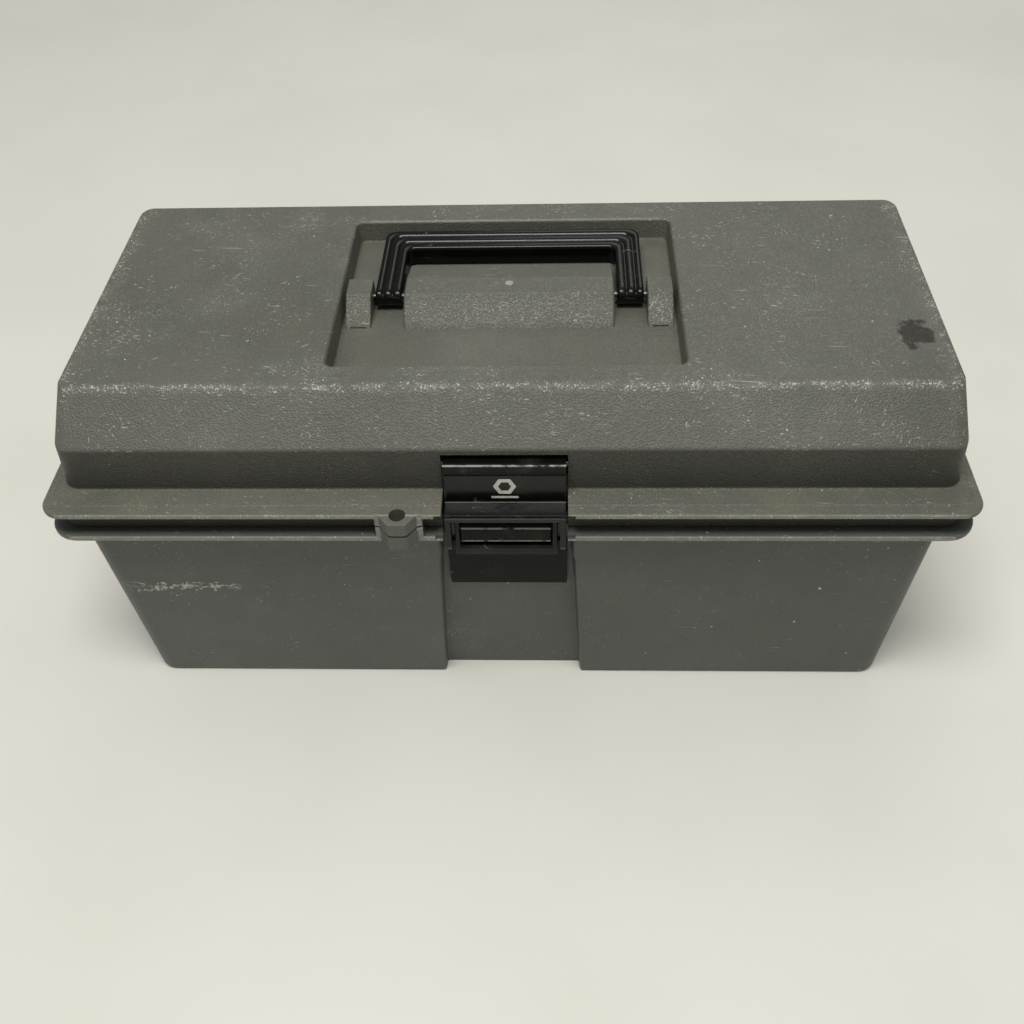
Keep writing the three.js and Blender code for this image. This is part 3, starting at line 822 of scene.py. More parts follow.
@dataclass(frozen=True)
class Scratches:
    """A family of fine scratches that run one way.

    Attributes:
        width: A scratch's width, in mm.
        share: Its width as a share of its length.
        turn: The way it runs, in degrees from X.
        shift: Moves the pattern.
        least: The noise value at which one starts; higher leaves fewer.
    """

    width: float
    share: float
    turn: float
    shift: float
    least: float


CHIPS = (Chips(7.0, 0.085, 0.45), Chips(12.0, 0.07, 0.77))
# Three families of short dashes, then three of long scratches.
SCRATCHES = (
    Scratches(0.7, 0.16, 12, 0.2, 0.765),
    Scratches(0.7, 0.14, 67, 0.5, 0.765),
    Scratches(0.75, 0.15, -38, 0.9, 0.765),
    Scratches(0.8, 0.03, 24, 1.3, 0.735),
    Scratches(0.8, 0.03, -66, 1.7, 0.735),
    Scratches(0.8, 0.025, 4, 2.1, 0.77),
)


@dataclass(frozen=True)
class GreyPolypropylene:
    """Moulded grey polypropylene with a leather grain, dust in its hollows and pale rubbed edges.

    Attributes:
        name: The material's name.
        base: Colour of the clean plastic.
        shade: Colour of its darker patches.
        dust: Colour of the dry dust that settles on it.
        rubbed: Colour where the surface has been rubbed or cut, also used for painted highlights.
        roughness: Roughness of the clean plastic.
        grain_mm: Width of one cell of the grain.
        grain_depth_mm: Depth of the grain.
        grain_tone: How much paler the grain's tops are than its pits.
        dusty: How much dust there is, from 0 to 1.
        wear: Where it has been rubbed.
    """

    name: str
    base: str
    shade: str
    dust: str = "6E6A58"
    rubbed: str = "C2C2B8"
    roughness: float = 0.5
    grain_mm: float = 1.0
    grain_depth_mm: float = 0.16
    grain_tone: float = 0.05
    dusty: float = 0.3
    wear: Wear = Wear()

    def rubbing(self, sheet: Sheet) -> Value:
        """How hard each place has been rubbed.

        Args:
            sheet: The material being made.

        Returns:
            A value from 0 to 1: patches everywhere, more along the worn edges.
        """
        amount = sheet.patches(38, 0.48, 0.74, self.wear.scuffs * 0.62, detail=5.0, shift=0.11)
        uneven = sheet.patches(9, 0.25, 0.6, shift=0.37)
        if self.wear.ridge:
            place, least = self.wear.ridge
            high = sheet.rise(sheet.z, least - 2, least)
            amount = sheet.largest(amount, sheet.product(sheet.near(sheet.y, place, 5.5), high, uneven))
        if self.wear.end:
            ends = sheet.rise(sheet.away(sheet.x), self.wear.end - 14, self.wear.end + 1, 0.75)
            slope = sheet.rise(sheet.z, 150, 182)
            amount = sheet.largest(amount, sheet.product(ends, slope, uneven))
        return sheet.largest(amount, sheet.product(self.rim(sheet), uneven, 0.8))

    def rim(self, sheet: Sheet) -> Value:
        """The flange's outer edge.

        Args:
            sheet: The material being made.

        Returns:
            A mask that is 1 on the edge, or 0 where there is no flange.
        """
        mask: Value = 0.0
        for axis, half in zip((sheet.x, sheet.y), self.wear.rim or ()):
            away = sheet.away(axis)
            before = sheet.rise(away, half - 1.0, half - 0.1)
            beyond = sheet.rise(away, half + 1.0, half + 0.3)
            mask = sheet.largest(mask, sheet.product(before, beyond))
        return mask

    def rubbed_mask(self, sheet: Sheet, rubbing: Value) -> Value:
        """Fine pale specks, small chips, short dashes and a few long scratches.

        Args:
            sheet: The material being made.
            rubbing: How hard each place has been rubbed.

        Returns:
            A mask that is 1 where the surface is pale.
        """
        more = sheet.product(rubbing, 0.2)
        mask = sheet.ramp(sheet.total(sheet.noise(0.95, 2.0), more), 0.745, 0.785)
        for kind in CHIPS:
            chips = sheet.ramp(sheet.cells(kind.spacing, warp=0.6), kind.radius, kind.radius * 0.7)
            there = sheet.ramp(sheet.total(sheet.noise(15, shift=kind.shift), more), 0.6, 0.63)
            mask = sheet.largest(mask, sheet.product(chips, there))
        for kind in SCRATCHES:
            lines = sheet.noise(kind.width, 0.0, (kind.share, 1.0, 1.0), kind.turn, kind.shift)
            lines = sheet.total(lines, sheet.product(rubbing, 0.08))
            there = sheet.patches(24, 0.54, 0.68, self.wear.scratches, shift=kind.shift + 0.05)
            lines = sheet.product(sheet.ramp(lines, kind.least, kind.least + 0.05), there)
            mask = sheet.largest(mask, lines)
        return mask

    def dust_mask(self, sheet: Sheet) -> Value:
        """Patchy dust over the whole surface."""
        return sheet.patches(46, 0.42, 0.75, self.dusty, detail=5.0, shift=0.7)

    def extra_colour(self, sheet: Sheet, colour: Socket) -> Socket:
        """Marks that only one moulding has; none here."""
        return colour

    def make(self) -> bpy.types.Material:
        """Builds the material.

        Returns:
            The finished material.
        """
        sheet = Sheet(self.name)
        colour = sheet.paint(sheet.patches(120, 0.35, 0.65, detail=4.0), self.base, self.shade)
        mottle = sheet.patches(7, 0.35, 0.7, 0.25, detail=4.0, shift=0.23)
        colour = sheet.paint(mottle, colour, self.shade)
        dust = self.dust_mask(sheet)
        colour = sheet.paint(dust, colour, self.dust)
        hide = sheet.ramp(sheet.cells(self.grain_mm, warp=0.7), 0.1, 0.75)
        colour = sheet.paint(sheet.product(hide, self.grain_tone), colour, self.rubbed)
        rubbing = self.rubbing(sheet)
        haze = sheet.total(sheet.product(rubbing, 0.08), sheet.product(self.rim(sheet), 0.22))
        colour = sheet.paint(haze, colour, self.rubbed)
        rubbed = sheet.product(self.rubbed_mask(sheet, rubbing), 0.85)
        colour = sheet.paint(rubbed, colour, self.rubbed)
        colour = self.extra_colour(sheet, colour)
        # The leather grain, a finer tooth on it and the slight sink of a large moulded wall.
        relief = sheet.relief(hide, self.grain_depth_mm, 0.8)
        relief = sheet.relief(sheet.noise(0.5, 2.0), self.grain_depth_mm * 0.5, 0.5, relief)
        relief = sheet.relief(sheet.noise(38, 2.0, shift=0.31), 0.5, 0.35, relief)
        uneven = sheet.product(sheet.total(sheet.noise(18, 4.0, shift=0.6), -0.5), 0.3)
        rough = sheet.total(uneven, sheet.product(dust, 0.3))
        rough = sheet.total(rough, self.roughness, clamp=True)
        return sheet.finish(Base_Color=colour, Roughness=rough, Normal=relief, Specular_IOR_Level=0.42)


@dataclass(frozen=True)
class LidPolypropylene(GreyPolypropylene):
    """The lid's plastic: dusty in the well and on the flange, with painted shade below the shoulder, one
    smudge and a painted highlight.

    Attributes:
        grime_and_shade: Colour of the smudge, and of the painted shade on the band, the rim and the well's
            floor.
        smudge: (x, y) of the smudge.
        band: Lower and upper height of the band below the shoulder, which gets painted shade.
        well_side: |x| where the handle well's mask ends and where it is full.
        well_front: |y| where it ends and where it is full.
        well_under: Heights between which it starts, in the thickness of the well's floor.
        well_top: Heights between which it ends.
        well_low: Heights between which it ends when it takes in the floor alone.
        well_back: Y of the well's back edge, which gets a painted highlight.
        top_skin: Heights between which the flat top's outer skin begins.
    """

    grime_and_shade: str = "26241F"
    smudge: Point2 = (202.0, -44.0)
    band: Point2 = (139.0, 163.4)
    well_side: Point2 = (90, 87)
    well_front: Point2 = (70, 66)
    well_under: Point2 = (168, 171)
    well_top: Point2 = (184.2, 181)
    well_low: Point2 = (174.5, 172.6)
    well_back: float = 65.6
    top_skin: Point2 = (183, 183.6)

    def inside_well(self, sheet: Sheet, ends: Point2) -> Value:
        """The inside of the handle well.

        Args:
            sheet: The material being made.
            ends: The height at which the mask ends and that up to which it is full.

        Returns:
            A mask that is 1 there.
        """
        across = sheet.rise(sheet.away(sheet.x), *self.well_side)
        along = sheet.rise(sheet.away(sheet.y), *self.well_front)
        above = sheet.rise(sheet.z, *self.well_under)
        return sheet.product(across, along, above, sheet.rise(sheet.z, *ends))

    def outside(self, sheet: Sheet) -> Value:
        """The lid's outer skin.

        Args:
            sheet: The material being made.

        Returns:
            A mask that is 1 there and 0 on the skin inside it, which stays clean.
        """
        across, along = sheet.away(sheet.x), sheet.away(sheet.y)
        # Distance along the direction in which the front and back shoulders face.
        slope = sheet.total(sheet.product(along, 0.695), sheet.product(sheet.z, 0.719))
        return sheet.largest(
            self.inside_well(sheet, self.well_top), sheet.rise(sheet.z, *self.top_skin),
            sheet.rise(slope, 188.6, 189.4), sheet.rise(along, 103.9, 104.6),
            sheet.rise(across, 217.7, 218.0),
        )

    def rubbed_mask(self, sheet: Sheet, rubbing: Value) -> Value:
        """The usual marks, nearly none on the sheltered floor of the well and none inside.

        Args:
            sheet: The material being made.
            rubbing: How hard each place has been rubbed.

        Returns:
            A mask that is 1 where the surface is pale.
        """
        floor = self.inside_well(sheet, self.well_low)
        exposed = sheet.total(sheet.product(floor, -0.85), 1.0)
        return sheet.product(super().rubbed_mask(sheet, rubbing), exposed, self.outside(sheet))

    def dust_mask(self, sheet: Sheet) -> Value:
        """Dust that lies in the well, along its walls and on the flange.

        Args:
            sheet: The material being made.

        Returns:
            A mask that is 1 under thick dust.
        """
        patches = sheet.patches(30, 0.3, 0.72, detail=5.0, shift=0.7)
        # It thickens toward the well's ends and lies on the flange up to the foot of the band.
        corners = sheet.total(sheet.rise(sheet.away(sheet.x), 50, 86, 0.5), 0.2)
        well = sheet.product(self.inside_well(sheet, self.well_top), corners)
        flange = sheet.product(sheet.rise(sheet.z, 141, 139, 0.7), sheet.rise(sheet.z, 137, 138))
        lying = sheet.product(sheet.largest(well, flange), sheet.total(sheet.product(patches, 0.7), 0.1))
        return sheet.total(lying, sheet.product(patches, self.dusty * 0.4), clamp=True)

    def rubbing(self, sheet: Sheet) -> Value:
        """The usual wear, and more on the fronts of the block and ears in the well.

        Args:
            sheet: The material being made.

        Returns:
            A value from 0 to 1.
        """
        across = sheet.rise(sheet.away(sheet.x), 88, 86.5)
        fronts = sheet.product(across, sheet.near(sheet.y, -14.0, 10.0))
        fronts = sheet.product(fronts, sheet.rise(sheet.z, 172.5, 175, 1.6), clamp=True)
        return sheet.largest(super().rubbing(sheet), sheet.product(fronts, 0.42))

    def extra_colour(self, sheet: Sheet, colour: Socket) -> Socket:
        """Painted shade on the band, the rim and the well's floor, a ragged smudge on the right and a
        painted highlight on the well's back edge.

        Args:
            sheet: The material being made.
            colour: The colour so far.

        Returns:
            The colour with all of them on it.
        """
        low, high = self.band
        across, along = sheet.away(sheet.x), sheet.away(sheet.y)
        # Painted shade on the band below the shoulder and, more faintly, on the well's floor.
        band = sheet.product(sheet.rise(sheet.z, low - 0.3, low + 0.5),
                             sheet.rise(sheet.z, high + 0.3, high - 1.5, 0.58))
        floor = sheet.product(self.inside_well(sheet, self.well_low), 0.1)
        # Painted shade on the rim between the two flanges, which light hardly reaches.
        gap = sheet.product(sheet.rise(sheet.z, 123, 124), sheet.rise(sheet.z, 135.8, 135.2, 0.8),
                            sheet.rise(along, 121, 119.5))
        colour = sheet.paint(sheet.largest(band, floor, gap), colour, self.grime_and_shade)
        smudge_x, smudge_y = (place * MM for place in self.smudge)
        wide = sheet.away(sheet.x, smudge_x)
        deep = sheet.product(sheet.away(sheet.y, smudge_y), 0.62)
        spread = sheet.total(sheet.product(wide, wide), sheet.product(deep, deep))
        spread = sheet.fold("POWER", spread, 0.5)
        ragged = sheet.product(sheet.total(sheet.noise(9, 4.0), -0.5), 22 * MM)
        spot = sheet.product(sheet.rise(sheet.total(spread, ragged), 7.5, 4.5, 0.85),
                             sheet.rise(sheet.z, *self.top_skin))
        colour = sheet.paint(spot, colour, self.grime_and_shade)
        # A painted highlight: a pale line along the top of the well's back edge.
        back = sheet.product(sheet.near(sheet.y, self.well_back, 1.2), sheet.rise(across, 87, 80),
                             sheet.rise(sheet.z, 183.2, 184.4, 0.45))
        return sheet.paint(back, colour, self.rubbed)


@dataclass(frozen=True)
class TubPolypropylene(GreyPolypropylene):
    """The tub's plastic: one pale wandering scratch on the left of its front.

    Attributes:
        scratch_middle: X of the scratch's middle.
        scratch_half: Half its length.
        scratch_height: Its height on the wall.
    """

    scratch_middle: float = -171.5
    scratch_half: float = 33.5
    scratch_height: float = 75.0

    def extra_colour(self, sheet: Sheet, colour: Socket) -> Socket:
        """The wandering scratch.

        Args:
            sheet: The material being made.
            colour: The colour so far.

        Returns:
            The colour with the scratch on it.
        """
        line: Value = 0.0
        # Three strands: how often each wanders, how far, and how much higher it lies, in mm.
        for size, reach, lift in ((11.0, 30.0, 0.0), (5.0, 16.0, 0.8), (7.0, 22.0, 1.6)):
            wander = sheet.total(sheet.noise(size, 5.0), -0.5)
            height = sheet.total(sheet.z, sheet.product(wander, reach * MM))
            line = sheet.largest(line, sheet.near(height, self.scratch_height + lift, 0.9))
        along = sheet.away(sheet.x, self.scratch_middle * MM)
        inside = sheet.rise(along, self.scratch_half, self.scratch_half - 12)
        front = sheet.rise(sheet.y, -100, -105)
        broken = sheet.patches(3, 0.42, 0.52, shift=0.8)
        return sheet.paint(sheet.product(line, inside, front, broken, 0.9), colour, self.rubbed)


@dataclass(frozen=True)
class BlackPlastic:
    """Black engineering plastic: clear highlights, faint scratches and a little grey dust.

    Attributes:
        name: The material's name.
        base: Its colour.
        dust: Colour of the dust on it.
        rubbed: Colour of its scratches and of its pale edges, which are partly worn and partly painted
            highlights.
        roughness: Its roughness.
        grain_mm: Size of the faint moulded texture.
        scratch: How strongly fine scratches show.
        gloss: How strongly it mirrors its surroundings.
        edges: (y, z) of long edges along X that are painted pale, partly as wear and partly as painted
            highlights.
    """

    name: str
    base: str
    dust: str = "3A3A36"
    rubbed: str = "A2A29C"
    roughness: float = 0.25
    grain_mm: float = 0.8
    scratch: float = 0.35
    gloss: float = 0.3
    edges: tuple[Point2, ...] = ()

    def make(self) -> bpy.types.Material:
        """Builds the material.

        Returns:
            The finished material.
        """
        sheet = Sheet(self.name)
        dust = sheet.patches(14, 0.52, 0.8, 0.35, detail=5.0)
        colour = sheet.paint(dust, self.base, self.dust)
        # A hair-thin line wherever a stretched noise crosses its middle value.
        lines = sheet.noise(7, 1.0, (0.08, 1.0, 1.0), 18, 0.4)
        thin = sheet.ramp(sheet.away(lines, 0.5), 0.01, 0.002)
        marks = sheet.product(thin, sheet.patches(12, 0.58, 0.7, self.scratch, detail=2.0, shift=0.15))
        # Pale lines along the listed edges: partly wear, partly painted highlights.
        for y, z in self.edges:
            line = sheet.product(sheet.near(sheet.y, y, 0.8), sheet.near(sheet.z, z, 0.6))
            worn = sheet.patches(4, 0.3, 0.55, 1.6, shift=z)
            marks = sheet.largest(marks, sheet.product(line, worn, clamp=True))
        colour = sheet.paint(marks, colour, self.rubbed)
        uneven = sheet.product(sheet.noise(5, 4.0, shift=0.52), 0.18)
        rough = sheet.total(sheet.product(dust, 0.5), uneven, self.roughness - 0.09, clamp=True)
        relief = sheet.relief(sheet.noise(self.grain_mm, 2.0), 0.02, 0.5)
        relief = sheet.relief(marks, 0.03, 0.6, relief)
        return sheet.finish(Base_Color=colour, Roughness=rough, Normal=relief, Specular_IOR_Level=self.gloss)


@dataclass(frozen=True)
class SteelFinish:
    """Bright steel with fine drawing or turning lines and slight dulling.

    Attributes:
        name: The material's name.
        base: Its colour.
        dull: Colour of its dulled patches.
        roughness: Its roughness.
        line_mm: Distance between drawing lines, coarser than real so that they show.
    """

    name: str
    base: str
    dull: str
    roughness: float
    line_mm: float = 0.3

    def make(self) -> bpy.types.Material:
        """Builds the material.

        Returns:
            The finished material.
        """
        sheet = Sheet(self.name)
        patches = sheet.patches(4, 0.42, 0.7, 0.7, detail=4.0)
        colour = sheet.paint(patches, self.base, self.dull)
        relief = sheet.relief(sheet.noise(self.line_mm, 1.0, (0.05, 1.0, 1.0)), 0.01, 0.5)
        rough = sheet.product(sheet.total(patches, 0.9), self.roughness)
        return sheet.finish(Base_Color=colour, Roughness=rough, Normal=relief, Metallic=1.0)


@dataclass(frozen=True)
class PlainFinish:
    """An even finish with soft mottling, for print, for the cut mark and for the floor.

    Attributes:
        name: The material's name.
        base: Its colour.
        shade: Its second colour.
        roughness: Its roughness.
        mottle_mm: Size of the mottling.
    """

    name: str
    base: str
    shade: str
    roughness: float
    mottle_mm: float

    def make(self) -> bpy.types.Material:
        """Builds the material.

        Returns:
            The finished material.
        """
        sheet = Sheet(self.name)
        tone = sheet.patches(self.mottle_mm, 0.35, 0.7, detail=4.0)
        colour = sheet.paint(tone, self.base, self.shade)
        return sheet.finish(Base_Color=colour, Roughness=self.roughness)


@dataclass(frozen=True)
class Finishes:
    """Every finish of the box."""

    lid: bpy.types.Material
    tub: bpy.types.Material
    latch: bpy.types.Material
    keeper: bpy.types.Material
    handle: bpy.types.Material
    tray: bpy.types.Material
    pin: bpy.types.Material
    screw: bpy.types.Material
    print_white: bpy.types.Material
    scar: bpy.types.Material


def make_finishes() -> Finishes:
    """Makes the finishes once, for all the pieces to share."""
    return Finishes(
        # Mid grey with a coarse leather grain that catches the light on the slopes.
        lid=LidPolypropylene(
            "grey_polypropylene_lid", "5F6059", "56574F", grain_depth_mm=0.22, roughness=0.46,
            wear=Wear(ridge=(-83.2, 183.2), end=217.0, rim=FLANGE_HALF, scuffs=0.75, scratches=0.75),
        ).make(),
        # The same plastic, a little greener, cleaner and smoother on the upright walls.
        tub=TubPolypropylene(
            "grey_polypropylene_tub", "575C57", "515651", grain_mm=0.9, grain_depth_mm=0.05,
            roughness=0.46, dusty=0.15, grain_tone=0.02,
            wear=Wear(rim=FLANGE_HALF, scuffs=0.4, scratches=0.4),
        ).make(),
        # Near black and glossy, so that its edges draw thin bright lines; two of its edges also get painted
        # highlights over wear.
        latch=BlackPlastic(
            "black_acetal_latch", "0E0F0D", roughness=0.2,
            edges=((-109.0, 156.5), (-118.9, 104.9)),
        ).make(),
        # A softer black behind the latch, with painted highlights over wear on the nose's two edges.
        keeper=BlackPlastic(
            "black_acetal_keeper", "11120F", roughness=0.28, gloss=0.12,
            edges=((-118.7, 123.5), (-119.2, 115.2)),
        ).make(),
        # Deep black with sharp glints along its ribs.
        handle=BlackPlastic(
            "black_nylon_handle", "0A0A09", "20201C", roughness=0.16, scratch=0.25, gloss=0.26,
        ).make(),
        # Lighter grey, nearly unworn since it lives inside.
        tray=GreyPolypropylene(
            "grey_polypropylene_tray", "74766E", "6B6D66", grain_mm=0.8, grain_depth_mm=0.03,
            dusty=0.35, grain_tone=0.02, wear=Wear(scuffs=0.2, scratches=0.3),
        ).make(),
        # Cool bright wire.
        pin=SteelFinish("drawn_steel_pin", "7E7F7D", "55544F", 0.4).make(),
        # Pale zinc with a slightly milky look.
        screw=SteelFinish("zinc_plated_steel_screw", "B9BBB8", "8D8E88", 0.28).make(),
        # Flat white ink.
        print_white=PlainFinish("white_pad_print", "DAD9D0", "C4C3BA", 0.6, 3).make(),
        # Pale stressed plastic where the moulding was cut off its runner.
        scar=PlainFinish("stressed_polypropylene_scar", "A5A696", "8A8B80", 0.5, 1.2).make(),
    )


# ---- Lid ------------------------------------------------------------------------------------


@dataclass
class LidShell:
    """The lid: flat top, sloping shoulder, upright band, flange and rim, with a sunken handle well."""

    # Each level's half length and half width, and its height where it has one of its own.
    height: float = 184.7
    top: Point2 = (218.1, 83.2)
    shoulder: Point3 = (219.3, 105.2, 163.4)
    band: Point3 = (220.7, 106.4, 138.8)
    flange: Point2 = FLANGE_HALF
    flange_low: float = 135.6
    rim: Point3 = (222.0, 118.0, 124.0)
    rim_wall: float = 2.0
    wall: float = 3.0
    # The handle well, with the block between the handle's arms and the ears outside them.
    well_half: Point2 = (88.5, 66.25)
    well_middle: float = -0.75
    well_floor: float = 172.2
    well_wall: float = 2.5
    block_half: float = 55.3
    ear_inner: float = 72.6
    ear_outer: float = 85.9
    # The latch's pocket in the front wall, and the sweep of the latch's barrel.
    pocket_half: float = 30.7
    pocket_y: float = -104.6
    pocket_wall: float = 7.3
    sweep: float = 8.2
    sweep_wall: float = 2.5

    def outside(self) -> Solid:
        """The lid's outer form as one solid."""
        (top_x, top_y), (flange_x, flange_y) = self.top, self.flange
        shoulder_x, shoulder_y, shoulder_z = self.shoulder
        band_x, band_y, band_z = self.band
        rim_x, rim_y, rim_z = self.rim
        step = 0.4
        return moulding("lid_outside", [
            Station((top_y - 8, self.height), (top_x - 6, self.height), 4),
            Station((top_y, self.height), (top_x, self.height), 7, 2.6),
            Station((shoulder_y, shoulder_z), (shoulder_x, shoulder_z), 8, 3.2),
            Station((band_y, band_z), (band_x, band_z), 9, 1.3),
            Station((band_y + 11, band_z), (band_x + 3.2, band_z), 10, 0.3),
            Station((band_y + 11.6, band_z - step), (band_x + 3.8, band_z - step), 10, 0.3),
            Station((flange_y, band_z - step), (flange_x, band_z - step), 11, 1.0),
            Station((flange_y, self.flange_low), (flange_x, self.flange_low), 11, 0.8),
            Station((rim_y, self.flange_low), (rim_x, self.flange_low), 9, 0.6),
            Station((rim_y, rim_z), (rim_x, rim_z), 9, 0.5),
            Station((rim_y - 12, rim_z), (rim_x - 12, rim_z), 6),
        ])

    def cavity(self) -> Solid:
        """The room inside the lid, less what backs the well and the latch's pocket."""
        top_x, top_y = self.top
        shoulder_x, shoulder_y, shoulder_z = self.shoulder
        band_x, band_y, _ = self.band
        rim_x, rim_y, rim_z = (value - self.rim_wall for value in self.rim)
        under = self.flange_low - 0.2
        cavity = moulding("lid_cavity", [
            Station((rim_y - 12, rim_z - 12), (rim_x - 12, rim_z - 12), 6),
            Station((rim_y, rim_z - 12), (rim_x, rim_z - 12), 7),
            Station((rim_y, under), (rim_x, under), 7, 0.5),
            Station((band_y - self.wall, under), (band_x - self.wall, under), 7, 1.0),
            Station((shoulder_y - self.wall, shoulder_z - 1.2),
                    (shoulder_x - self.wall, shoulder_z - 1.2), 6, 1.5),
            Station((top_y - self.wall - 0.6, self.height - self.wall),
                    (top_x - self.wall, self.height - self.wall), 5, 1.5),
            Station((top_y - 14, self.height - self.wall), (top_x - 12, self.height - self.wall), 4),
        ])
        well_low = self.well_floor - self.well_wall
        around = (self.well_half[0] + self.well_wall, self.well_half[1] + self.well_wall)
        combine(cavity, brick(
            "well_outside", (-around[0], self.well_middle - around[1], well_low),
            (around[0], self.well_middle + around[1], self.height + 4)), Cut.REMOVE)
        half, back = self.pocket_half + self.pocket_wall, self.pocket_y + 3.0
        start = Vector((-half, *LEVER_PIVOT))
        combine(cavity, rod("pin_wall", start, ALONG_X, 2 * half, self.sweep + self.sweep_wall), Cut.REMOVE)
        combine(cavity, brick("pocket_wall", (-half, -125, 138), (half, back, 150)), Cut.REMOVE)
        return combine(cavity, brick("cheeks", (-34, -117.5, 100), (34, back, 139)), Cut.REMOVE)

    def well(self) -> Solid:
        """The handle well as a tool, flared at its lip and rounded at its floor."""
        half_x, half_y = self.well_half
        lip = self.height + 0.12
        return moulding("well", [
            Station((half_y - 10, self.well_floor), (half_x - 10, self.well_floor), 2),
            Station((half_y - 0.8, self.well_floor), (half_x - 0.8, self.well_floor), 4, 1.3),
            Station((half_y, lip), (half_x, lip), 4.5, 2.2),
            Station((half_y + 5, lip + 0.1), (half_x + 5, lip + 0.1), 9),
            Station((half_y + 5, lip + 6), (half_x + 5, lip + 6), 9),
        ], middle_y=self.well_middle)

    def fittings(self) -> Solid:
        """The block between the handle's arms and the ear outside each arm, all with soft edges."""
        foot, front, top = self.well_floor - 2.2, -23.0, self.height
        block = [(front - 0.3, foot), (-6.6, top), (8, top), (30, top - 6), (31, foot)]
        ear = [(front - 0.3, foot), (-6.6, top), (8, top), (8.4, foot)]
        block = rounded_loop(block, [0, 1.6, 3, 2.4, 0], 4)
        ear = rounded_loop(ear, [0, 1.2, 1.0, 0], 4)
        return gather("well_fittings", [
            soften(prism_x("block", block, -self.block_half, self.block_half), 2.2, 50, 4),
            soften(prism_x("ear_right", ear, self.ear_inner, self.ear_outer), 0.8, 50, 3),
            soften(prism_x("ear_left", ear, -self.ear_outer, -self.ear_inner), 0.8, 50, 3),
        ])

    def under_block(self) -> Solid:
        """The hollow inside the block, open to the inside of the lid."""
        outline = [(-15, 160), (-15, 173), (-5.4, 181.4), (7, 181.4), (26.5, 176), (26.5, 160)]
        return prism_x("under_block", outline, -46, 46)

    def pocket(self) -> list[Solid]:
        """Room for the latch: its pocket, the sweep of its barrel and the gap in the flange."""
        half = self.pocket_half
        return [
            brick("pocket", (-half, -200, 100), (half, self.pocket_y, LEVER_PIVOT[1])),
            rod("sweep", Vector((-half, *LEVER_PIVOT)), ALONG_X, 2 * half, self.sweep, count=48),
            brick("rim_gap", (-half - 1.8, -200, 100), (half + 1.8, -120.5, 137)),
            brick("flange_step", (-half - 3.6, -200, 100), (half + 3.6, -122.6, 137.9)),
        ]

    def small_cuts(self) -> list[Solid]:
        """Pin holes, the slots at the ears' feet and the padlock's hole."""
        middle = (self.ear_inner + self.ear_outer) / 2
        slots = [
            brick("slot", (side * middle - 4.2, -24, self.well_floor + 0.1),
                  (side * middle + 4.2, -19.6, self.well_floor + 0.9))
            for side in (-1, 1)
        ]
        half = LATCH_PIN_HALF + 0.5
        lever = rod("lever_hole", Vector((-half, *LEVER_PIVOT)), ALONG_X, 2 * half, PIN_HOLE)
        return [*slots, *handle_pin_holes(), lever, EYE.hole(), HINGES.holes()]

    def knuckles(self) -> list[Solid]:
        """Two knuckles at each hinge station."""
        web = (119, 124, self.flange_low, self.band[2])
        result = []
        for x in HINGES.stations:
            near = HINGES.tub_half + HINGES.gap
            far = near + HINGES.lid_length
            result.append(HINGES.knuckle(x + near, x + far, web))
            result.append(HINGES.knuckle(x - far, x - near, web))
        return result

    def build(self, finishes: Finishes) -> None:
        """Makes the lid.

        Args:
            finishes: The box's finishes.
        """
        lid = combine(self.outside(), self.cavity(), Cut.REMOVE)
        combine(lid, self.well(), Cut.REMOVE)
        for part in [self.fittings(), *self.knuckles(), EYE.ear(131, self.band[2])]:
            combine(lid, part, Cut.JOIN)
        for tool in [self.under_block(), *self.pocket(), *self.small_cuts()]:
            combine(lid, tool, Cut.REMOVE)
        finish_piece(lid, "lid_moulding", Body.LID, finishes.lid, ["lid_shell"])
        mark = rod("gate_mark", Vector((0, 2.5, self.height - 0.4)), UP, 0.55, 2.2, 0.1)
        finish_piece(mark, "gate_mark", Body.LID, finishes.scar)


# ---- Tub ------------------------------------------------------------------------------------


